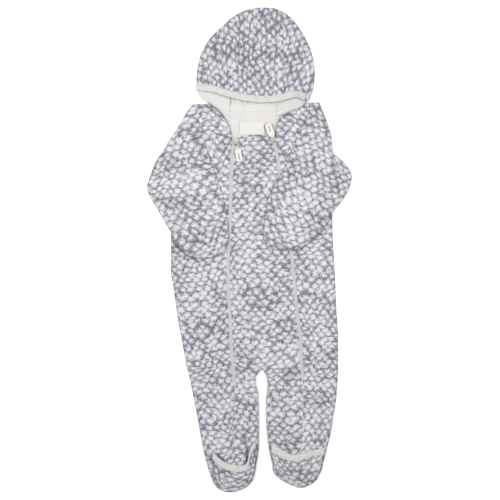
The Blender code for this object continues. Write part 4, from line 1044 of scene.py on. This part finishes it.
def make_stitches(name, line, look, floor, pitch=3.0, length=2.1):
    """A row of short stitches along a line on the tape."""
    runs = travelled(line)
    at = np.arange(pitch / 2 + 2, runs[-1] - 2, pitch)
    line = at_runs(line, runs, at)
    along, side = ways_along(line)
    z = floor(line[:, 0], line[:, 1]) + (BINDING_TOP + 0.1)
    shape = [(-0.5, 0, -0.15), (-0.32, 0.2, 0.05), (0.32, 0.2, 0.05), (0.5, 0, -0.15), (0.32, -0.2, 0.05),
             (-0.32, -0.2, 0.05), (-0.3, 0, 0.22), (0.3, 0, 0.22), (0, 0, -0.25)]
    faces = [(0, 6, 1), (0, 5, 6), (1, 6, 7), (1, 7, 2), (5, 7, 6), (5, 4, 7), (2, 7, 3), (4, 3, 7),
             (0, 1, 8), (1, 2, 8), (2, 3, 8), (3, 4, 8), (4, 5, 8), (5, 0, 8)]
    points, triangles = [], []
    for k in range(len(line)):
        for a, b, c in shape:
            spot = line[k] + along[k] * a * length + side[k] * b
            points.append((spot[0] * MM, spot[1] * MM, (z[k] + c) * MM))
        triangles += [[len(shape) * k + i for i in face] for face in faces]
    mesh = small_mesh(name, points, triangles, look)
    mesh.shade_smooth()
    fit_out(placed(name, mesh), "binding")


def ways_along(line):
    """Unit steps along a line and square to it."""
    along = np.gradient(line, axis=0)
    along /= lengths(along)
    return along, pairs(-along[:, 1], along[:, 0])


# Feet ----------------------------------------

def make_foot(half, looks, tape_looks, thread):
    """Foot flap, rounded over the toes, and the tape on its edge."""
    leg, front_end, side = half.leg, half.front_end, half.side
    upper, lower = even_edges(half.band, 1.5)
    tops = mix(upper, lower, 0.4)[::2]
    count, columns = 40, len(tops)
    toe = leg[-1].y
    v = mix(np.linspace(0, 1, count), (1 - np.cos(np.linspace(0, math.pi, count))) / 2, 0.6)
    y = mix(tops[None, :, 1], toe, v[:, None])
    left, right = left_x(leg, tops[:, 1]), right_x(leg, tops[:, 1])
    share = mix(((tops[:, 0] - left) / (right - left))[None, :], np.linspace(0, 1, columns)[None, :],
                (v ** 1.5)[:, None])
    x = mix(left_x(leg, y), right_x(leg, y), share)
    floor = flap_floor(x, y, front_end)
    distance = line_distance(x, y, SILHOUETTE)
    over = over_front(y, front_end)
    round_off = mix(roll(distance, TOE_ROUND), mix(0.35, 1.0, roll(distance, 4.0)), over)
    z = mix(SEAM_LEVEL, floor + FLEECE, round_off) + rumpled(x, y, 0.5, 6.0) * roll(distance, 10.0)
    z = np.where(over > 0.99, np.maximum(z, front_top(x, y) + FLAP_OVER_FRONT + 0.6), z)
    grid = stack(x, y, z)
    uv = unrolled(grid, columns // 2)
    heel = np.array([tops[:, 0].mean(), tops[:, 1].max()])
    outward = grid[..., :2] - heel
    outward /= np.maximum(np.hypot(outward[..., 0], outward[..., 1]), 1.0)[..., None]
    uv = turned(uv + outward * (12.0 * np.clip(1 - distance / 24, 0, 1) ** 2)[..., None], half.flap_grain)
    # Painted shade along the outline
    depth = painted_shade_of(x, y, (), [(SILHOUETTE, 0.4)])
    cloth("shell_flap_" + side, "fleece", "foot_flap_" + side, [(grid, uv, depth)], looks)

    def floor_at(px, py):
        return flap_floor(px, py, front_end)

    make_binding("binding_foot_" + side, upper, lower, floor_at, tape_looks, "foot_binding_" + side)
    make_stitches("stitches_foot_" + side, mix(upper, lower, STITCH_SHARE), thread, floor_at)


# Zips ----------------------------------------

def make_zip(half, looks, coil_look):
    """Woven tape with a coil of small teeth down its middle, below the slider."""
    lean = zip_lean if half.sign > 0 else np.zeros_like
    side, end = half.side, half.zip_end

    def middle_at(y):
        return half.x_of(ZIPS, y) + lean(y)

    y = steps_between(CENTER_TOP - 1, end - 7, 3.0)
    middle = middle_at(y)
    offsets = np.array([-1, -0.55, -0.5, -0.2, 0.2, 0.5, 0.55, 1]) * ZIP_WIDTH / 2
    offsets = np.where(offsets < -ZIP_WIDTH / 3, offsets - lean(y)[:, None], offsets)
    rise = np.array([1.6, 1.8, 1.9, 2.0, 2.0, 1.9, 1.8, 1.6])
    x = middle[:, None] + offsets
    rows = spread(y, x)
    grid = stack(x, rows, front_top(middle, y)[:, None] - FLEECE + rise)
    cloth("tape_zip_" + side, "zip", "zip_" + side, [(grid, unrolled(grid, 3))], looks, thickness=0.6)

    points, faces = [], []
    corners = [(-1, -1, 0), (1, -1, 0), (1, 1, 0), (-1, 1, 0),
               (-0.7, -0.55, 1), (0.7, -0.55, 1), (0.7, 0.55, 1), (-0.7, 0.55, 1)]
    box = [(0, 3, 2, 1), (4, 5, 6, 7), (0, 1, 5, 4), (1, 2, 6, 5), (2, 3, 7, 6), (3, 0, 4, 7)]
    for k, level in enumerate(np.arange(CENTER_TOP - 4, end - 2, -COIL_PITCH)):
        centre = float(middle_at(level))
        low = float(front_top(np.array([centre]), np.array([level]))[0]) - FLEECE + 1.55
        shift = 0.35 if k % 2 else -0.35
        faces += [[len(points) + i for i in face] for face in box]
        points += [((centre + shift + a * 1.15) * MM, (level + b * 0.55) * MM, (low + c * 0.95) * MM)
                   for a, b, c in corners]
    coil = placed("coil_" + side, small_mesh("coil_" + side, points, faces, coil_look))
    bevel = coil.modifiers.new("round", "BEVEL")
    bevel.width = 0.18 * MM
    bevel.segments = 1
    fit_out(settle(coil), "zip")


# Materials ----------------------------------------

def srgb(red, green, blue):
    """Linear colour of a surface from its 0-255 tone under a light of exposure 1."""
    values = [v / 255 for v in (red, green, blue)]
    linear = [v / 12.92 if v <= 0.04045 else ((v + 0.055) / 1.055) ** 2.4 for v in values]
    return tuple(v / EXPOSURE for v in linear) + (1.0,)


class Shader:
    """Node tree of one Principled material."""

    def __init__(self, name, roughness=0.9, sheen=0.0, specular=0.2, metallic=0.0):
        self.material = bpy.data.materials.new(name)
        self.material.use_nodes = True
        self.tree = self.material.node_tree
        self.surface = self.tree.nodes["Principled BSDF"]
        for key, value in (("Roughness", roughness), ("Specular IOR Level", specular),
                           ("Metallic", metallic), ("Sheen Weight", sheen), ("Sheen Roughness", 0.45)):
            self.surface.inputs[key].default_value = value

    def feed(self, socket, value):
        if isinstance(value, bpy.types.NodeSocket):
            self.tree.links.new(value, socket)
        else:
            socket.default_value = value

    def node(self, kind, inputs=(), **settings):
        made = self.tree.nodes.new("ShaderNode" + kind)
        for key, value in settings.items():
            setattr(made, key, value)
        for key, value in dict(inputs).items():
            self.feed(made.inputs[key], value)
        return made

    def math(self, operation, *values):
        return self.node("Math", dict(enumerate(values)), operation=operation).outputs[0]

    def vector(self, operation, *values, out=0):
        inputs = {}
        for key, value in enumerate(values):
            inputs["Scale" if operation == "SCALE" and key == 1 else key] = value
        return self.node("VectorMath", inputs, operation=operation).outputs[out]

    def ramp(self, value, low, high, start=0.0, end=1.0):
        inputs = {"Value": value, "From Min": low, "From Max": high, "To Min": start, "To Max": end}
        return self.node("MapRange", inputs, interpolation_type="SMOOTHSTEP").outputs[0]

    def mix(self, share, a, b, **settings):
        made = self.node("Mix", data_type="RGBA", **settings)
        for key, value in ((0, share), (6, a), (7, b)):
            self.feed(made.inputs[key], value)
        return made.outputs[2]

    def noise(self, vector, size, detail=2.0, dimensions="2D"):
        scaled = self.vector("SCALE", vector, 1.0 / size)
        return self.node("TexNoise", {"Vector": scaled, "Scale": 1.0, "Detail": detail},
                         noise_dimensions=dimensions).outputs

    def flat(self):
        """Place on the flat cloth, in millimetres."""
        return self.vector("SCALE", self.node("UVMap", uv_map="cut").outputs[0], 1000.0)

    def place(self):
        """Place in the frame, in millimetres."""
        return self.vector("SCALE", self.node("TexCoord").outputs["Object"], 1000.0)

    def with_painted_shade(self, colour):
        """Colour with painted shade deep in folds and beside edges, and a painted highlight where the fold
        attribute is below 0.
        """
        depth = self.node("Attribute", attribute_name="fold").outputs["Fac"]
        return self.mix(depth, colour, PAINTED_SHADE_TONE, blend_type="MULTIPLY", clamp_factor=False)

    def finish(self, colour, height=None, strength=0.5, distance=0.5):
        self.feed(self.surface.inputs["Base Color"], colour)
        if height is not None:
            bump = self.node("Bump", {"Height": height, "Strength": strength, "Distance": distance * MM})
            self.tree.links.new(bump.outputs[0], self.surface.inputs["Normal"])
        return self.material


LATTICE = (12.4, 14.8)      # pitch of the print's stitches in a row, and two rows of them
BLOB = (6.0, 4.4)           # half width and half height of a stitch
JITTER = 0.3                # unevenness of the stitches' places, as a share of the pitch
PIT = 0.1                   # how much deeper the pits are than the saddles between stitches
DRIFTS = ((80.0, 20.0), (17.0, 4.4), (8.0, 2.2))    # size and amount of each wavering of the rows


def print_look(name, cover):
    """Fleece printed with a chunky knit: soft light stitches in staggered rows, dark between them.

    More cover lets the dark ground close round the stitches.
    """
    shader = Shader(name, roughness=0.95, sheen=0.08, specular=0.1)
    flat = shader.flat()
    warped = flat
    for size, amount in DRIFTS:
        way = shader.vector("SUBTRACT", shader.noise(flat, size, 1.0)["Color"], (0.5, 0.5, 0.5))
        warped = shader.vector("ADD", warped, shader.vector("SCALE", way, amount))
    cells = shader.vector("MULTIPLY", warped, (1 / LATTICE[0], 1 / LATTICE[1], 0.0))
    reaches, slopes = [], []
    for shift in ((0.0, 0.0, 0.0), (37.5, 11.5, 0.0)):
        place = shader.vector("ADD", cells, shift)
        voronoi = shader.node("TexVoronoi", {"Vector": place, "Scale": 1.0, "Randomness": JITTER},
                              voronoi_dimensions="2D", feature="F1")
        apart = shader.vector("SUBTRACT", place, voronoi.outputs["Position"])
        apart = shader.vector("MULTIPLY", apart, (LATTICE[0] / BLOB[0], LATTICE[1] / BLOB[1], 0.0))
        parts = shader.node("SeparateColor", {"Color": voronoi.outputs["Color"]})
        size = shader.ramp(parts.outputs[0], 0.0, 1.0, 0.92, 1.1)
        reaches.append(shader.math("MULTIPLY", shader.vector("LENGTH", apart, out=1), size))
        slopes.append(shader.vector("DOT_PRODUCT", apart, (0.25, -0.97, 0.0), out=1))
    reach = shader.math("SMOOTH_MIN", reaches[0], reaches[1], 0.05)
    turns = shader.vector("SUBTRACT", cells, (JITTER / 2, JITTER / 2, 0.0))
    turns = shader.vector("SCALE", turns, 2 * math.pi)
    waves = shader.node("SeparateXYZ", {0: turns}).outputs
    crest = shader.math("MULTIPLY", shader.math("COSINE", waves[0]), shader.math("COSINE", waves[1]))
    pitted = shader.math("MULTIPLY_ADD", crest, -PIT, reach)
    second = shader.math("GREATER_THAN", reaches[0], reaches[1])
    lower = shader.math("MULTIPLY_ADD", second, shader.math("SUBTRACT", slopes[1], slopes[0]), slopes[0])
    grainy = shader.noise(shader.vector("MULTIPLY", flat, (0.8, 1.2, 1.0)), 3.2, 2.5)
    rough = shader.math("SUBTRACT", grainy["Fac"], 0.5)
    patch = shader.noise(flat, 42.0, 2.0)["Fac"]
    shift = shader.ramp(patch, 0.37, 0.63, cover + 0.17, cover - 0.12)
    depth = shader.math("MULTIPLY_ADD", rough, 1.9, shader.math("ADD", pitted, shift))
    under = shader.math("MULTIPLY_ADD", lower, 0.22, depth)
    shade = shader.math("MULTIPLY_ADD", lower, 0.3, depth)
    light = shader.mix(shader.ramp(shade, 0.0, 1.0), srgb(208, 207, 211), srgb(160, 158, 164))
    dark = shader.mix(shader.ramp(depth, 1.15, 1.5), srgb(130, 128, 138), srgb(108, 106, 117))
    colour = shader.mix(shader.ramp(under, 0.88, 1.13), light, dark)
    nap = shader.noise(flat, 1.1, 3.0)["Fac"]
    lumps = shader.noise(flat, 4.5, 1.0)["Fac"]
    height = shader.math("MULTIPLY_ADD", nap, 0.35, shader.math("MULTIPLY", lumps, 0.5))
    height = shader.math("MULTIPLY_ADD", reach, -0.5, height)
    return shader.finish(shader.with_painted_shade(colour), height, 0.5, 0.6)


def plain_look(name, colour, shade, grain=0.9, sheen=0.15, strength=0.35):
    """Plain brushed cloth with a slight unevenness of tone."""
    shader = Shader(name, roughness=0.95, sheen=sheen, specular=0.1)
    flat = shader.flat()
    tone = shader.mix(shader.ramp(shader.noise(flat, 16.0, 3.0)["Fac"], 0.3, 0.7), colour, shade)
    nap = shader.noise(flat, grain, 3.0)["Fac"]
    return shader.finish(shader.with_painted_shade(tone), nap, strength, 0.35)


def ribbed_look(name, colour, shade, pitch):
    """Fine knitted tape, ribbed across its length."""
    shader = Shader(name, roughness=0.9, sheen=0.1, specular=0.15)
    flat = shader.flat()
    inputs = {"Vector": flat, "Scale": 1.0 / pitch, "Distortion": 0.6, "Detail": 1.0}
    wave = shader.node("TexWave", inputs, wave_type="BANDS", bands_direction="X")
    tone = shader.mix(shader.ramp(shader.noise(flat, 9.0, 2.0)["Fac"], 0.3, 0.7), colour, shade)
    ribs = shader.math("MULTIPLY", wave.outputs["Fac"], 0.6)
    height = shader.math("ADD", ribs, shader.noise(flat, 0.8)["Fac"])
    return shader.finish(shader.with_painted_shade(tone), height, 0.4, 0.25)


def tag_look(name, pivot, along):
    """Soft white tag, cream where it is folded over the ring, with one plain red line down its middle."""
    shader = Shader(name, roughness=0.75, specular=0.3)
    place = shader.place()
    apart = shader.vector("SUBTRACT", place, (*pivot, 0.0))
    run = shader.vector("DOT_PRODUCT", apart, (*along, 0.0), out=1)
    side = shader.math("ABSOLUTE", shader.vector("DOT_PRODUCT", apart, (along[1], -along[0], 0.0), out=1))
    cream = shader.ramp(run, 11.0, 12.2)
    colour = shader.mix(cream, srgb(203, 199, 190), srgb(214, 214, 213))
    line = shader.math("MULTIPLY", shader.ramp(side, 1.3, 0.7), shader.ramp(run, 17.0, 17.6))
    line = shader.math("MULTIPLY", line, shader.ramp(run, 27.8, 27.2))
    colour = shader.mix(line, colour, srgb(190, 118, 130))
    fold = shader.math("MULTIPLY", shader.ramp(run, 10.8, 11.5), shader.ramp(run, 12.6, 11.9))
    height = shader.math("SUBTRACT", shader.noise(place, 0.7, 2.0, "3D")["Fac"], fold)
    return shader.finish(colour, height, 0.3, 0.25)


def hard_look(name, colour, shade, roughness, specular=0.5, pit=None):
    """Painted or moulded surface with faint wear, and a painted shadow in a small round spot at a place in
    the frame.
    """
    shader = Shader(name, roughness=roughness, specular=specular)
    place = shader.place()
    noise = shader.noise(place, 1.6, 3.0, "3D")["Fac"]
    tone = shader.mix(shader.ramp(noise, 0.35, 0.75), colour, shade)
    # Painted shadow of the slider's opening: dark within about 1.3 mm of the spot
    if pit:
        apart = shader.vector("MULTIPLY", shader.vector("SUBTRACT", place, (*pit, 0.0)), (1.0, 1.0, 0.0))
        near = shader.ramp(shader.vector("LENGTH", apart, out=1), 1.7, 0.9)
        tone = shader.mix(near, tone, srgb(70, 68, 68))
    return shader.finish(tone, noise, 0.1, 0.08)


# Scene ----------------------------------------

def make_floor():
    shader = Shader("floor", roughness=1.0, specular=0.0)
    noise = shader.noise(shader.place(), 400.0, 2.0)["Fac"]
    look = shader.finish(shader.mix(noise, (0.93, 0.93, 0.93, 1), (0.95, 0.95, 0.95, 1)))
    size, level = 6.0, -0.0004
    corners = [(-size, -size, level), (size, -size, level), (size, size, level), (-size, size, level)]
    placed("floor", small_mesh("floor", corners, [(0, 1, 2, 3)], look))


def make_light(name, place, size, power, aim=(0.0, 0.0, 0.0)):
    data = bpy.data.lights.new(name, "AREA")
    data.shape = "DISK"
    data.size = size
    data.energy = power
    light = placed(name, data)
    light.location = place
    way = np.array(aim) - np.array(place)
    light.rotation_mode = "QUATERNION"
    light.rotation_quaternion = Vector(way).to_track_quat("-Z", "Y")


def make_lights():
    world = bpy.data.worlds.new("studio")
    bpy.context.scene.world = world
    world.use_nodes = True
    background = world.node_tree.nodes["Background"]
    background.inputs[0].default_value = (1.0, 1.0, 1.0, 1.0)
    background.inputs[1].default_value = WORLD * EXPOSURE
    for name, x, power in LIGHTS:
        make_light(name, (x, LIGHT_AHEAD, LIGHT_HEIGHT), LIGHT_SIZE, power * EXPOSURE)
    bpy.context.scene.view_settings.view_transform = "Standard"


def make_camera():
    data = bpy.data.cameras.new("camera")
    data.sensor_width = SENSOR
    data.lens = SENSOR * CAMERA_HEIGHT / (PIXEL * PICTURE_SIZE)
    data.clip_end = 50.0
    camera = placed("camera", data)
    half = PICTURE_SIZE / 2
    camera.location = ((half - ORIGIN_PIXEL[0]) * PIXEL * MM, (ORIGIN_PIXEL[1] - half) * PIXEL * MM,
                       (CAMERA_HEIGHT + 6) * MM)
    bpy.context.scene.camera = camera


def dress(node, look, rounding):
    """Give a CAD node its material and rounded edges."""
    node.data.materials.clear()
    node.data.materials.append(look)
    bevel = node.modifiers.new("rounding", "BEVEL")
    bevel.width = rounding * MM
    bevel.segments = 3
    bevel.limit_method = "ANGLE"
    bevel.angle_limit = math.radians(40)


def make_hood_band(looks, thread):
    """Tape on the hood's front edge, turned down round the fold at its left end."""
    left, right = HOOD_FOLD[0, 0] + 0.6, 85.0
    x = steps_between(left, right, 1.6)
    line = pairs(x, edge_y(HOOD_EDGE, x))
    _, square = ways_along(line)
    square[:, 0] *= ease((x - left) / 12)
    square /= lengths(square)
    lower = line - square * (BINDING_FIT + TAPE)
    upper = line + square * BINDING_WIDTH
    radius = HOOD_RADIUS

    def under_hood(px, py):
        turn = np.clip((HOOD_FOLD[0, 0] + radius - px) / radius, 0, 1)
        return hood_top(px, py) - FLEECE - radius * (1 - np.sqrt(1 - turn ** 2))

    make_binding("binding_hood", lower, upper, under_hood, looks, "hood_binding", flip=True,
                 dim_from=HOOD_SHADE)
    make_stitches("stitches_hood", mix(lower, upper, STITCH_SHARE), thread, under_hood)


def main():
    printed = print_look("printed_fleece", 0.0)
    dense = print_look("printed_fleece_dense", 0.07)
    reverse = plain_look("fleece_reverse", srgb(190, 189, 193), srgb(178, 177, 182), 1.2)
    cool = plain_look("lining_cool", srgb(211, 210, 209), srgb(206, 204, 203), 0.9)
    warm = plain_look("lining_warm", srgb(208, 207, 205), srgb(203, 202, 199), 0.9)
    label = plain_look("label", srgb(211, 210, 209), srgb(208, 207, 206), 0.5, 0.0, 0.15)
    binding = ribbed_look("binding", srgb(203, 201, 199), srgb(196, 193, 190), 1.2)
    tape = ribbed_look("zip_tape", srgb(195, 194, 194), srgb(186, 185, 185), 0.9)
    thread = plain_look("thread", srgb(206, 204, 201), srgb(196, 194, 191), 0.4)
    coil = hard_look("coil", srgb(193, 192, 192), srgb(184, 183, 183), 0.55, 0.3)
    enamel = hard_look("ring_enamel", srgb(196, 194, 189), srgb(180, 178, 174), 0.35)
    fleece, dense_fleece = [printed, reverse], [dense, reverse]

    make_back(fleece)
    make_fronts(fleece)
    make_center(fleece)
    for half in HALVES:
        make_sleeve(half, fleece)
    make_hood_center(dense_fleece)
    for half in HALVES:
        make_hood_side(half, dense_fleece)
    make_hood_lining(warm, cool)
    make_neck(warm)
    make_label([label])
    for half, looks in zip(HALVES, (dense_fleece, fleece)):
        make_foot(half, looks, [binding], thread)
    make_hood_band([binding], thread)
    for half in HALVES:
        make_zip(half, [tape], coil)
    for side, pivot, along, pit in PULLS:
        slider = hard_look("slider_" + side, srgb(196, 194, 189), srgb(180, 178, 174), 0.35, pit=pit)
        dress(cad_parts["slider_" + side], slider, 0.35)
        dress(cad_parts["pull_ring_" + side], enamel, 0.3)
        dress(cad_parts["pull_tag_" + side], tag_look("tag_" + side, pivot, along), 0.5)
    make_floor()
    make_lights()
    make_camera()


main()
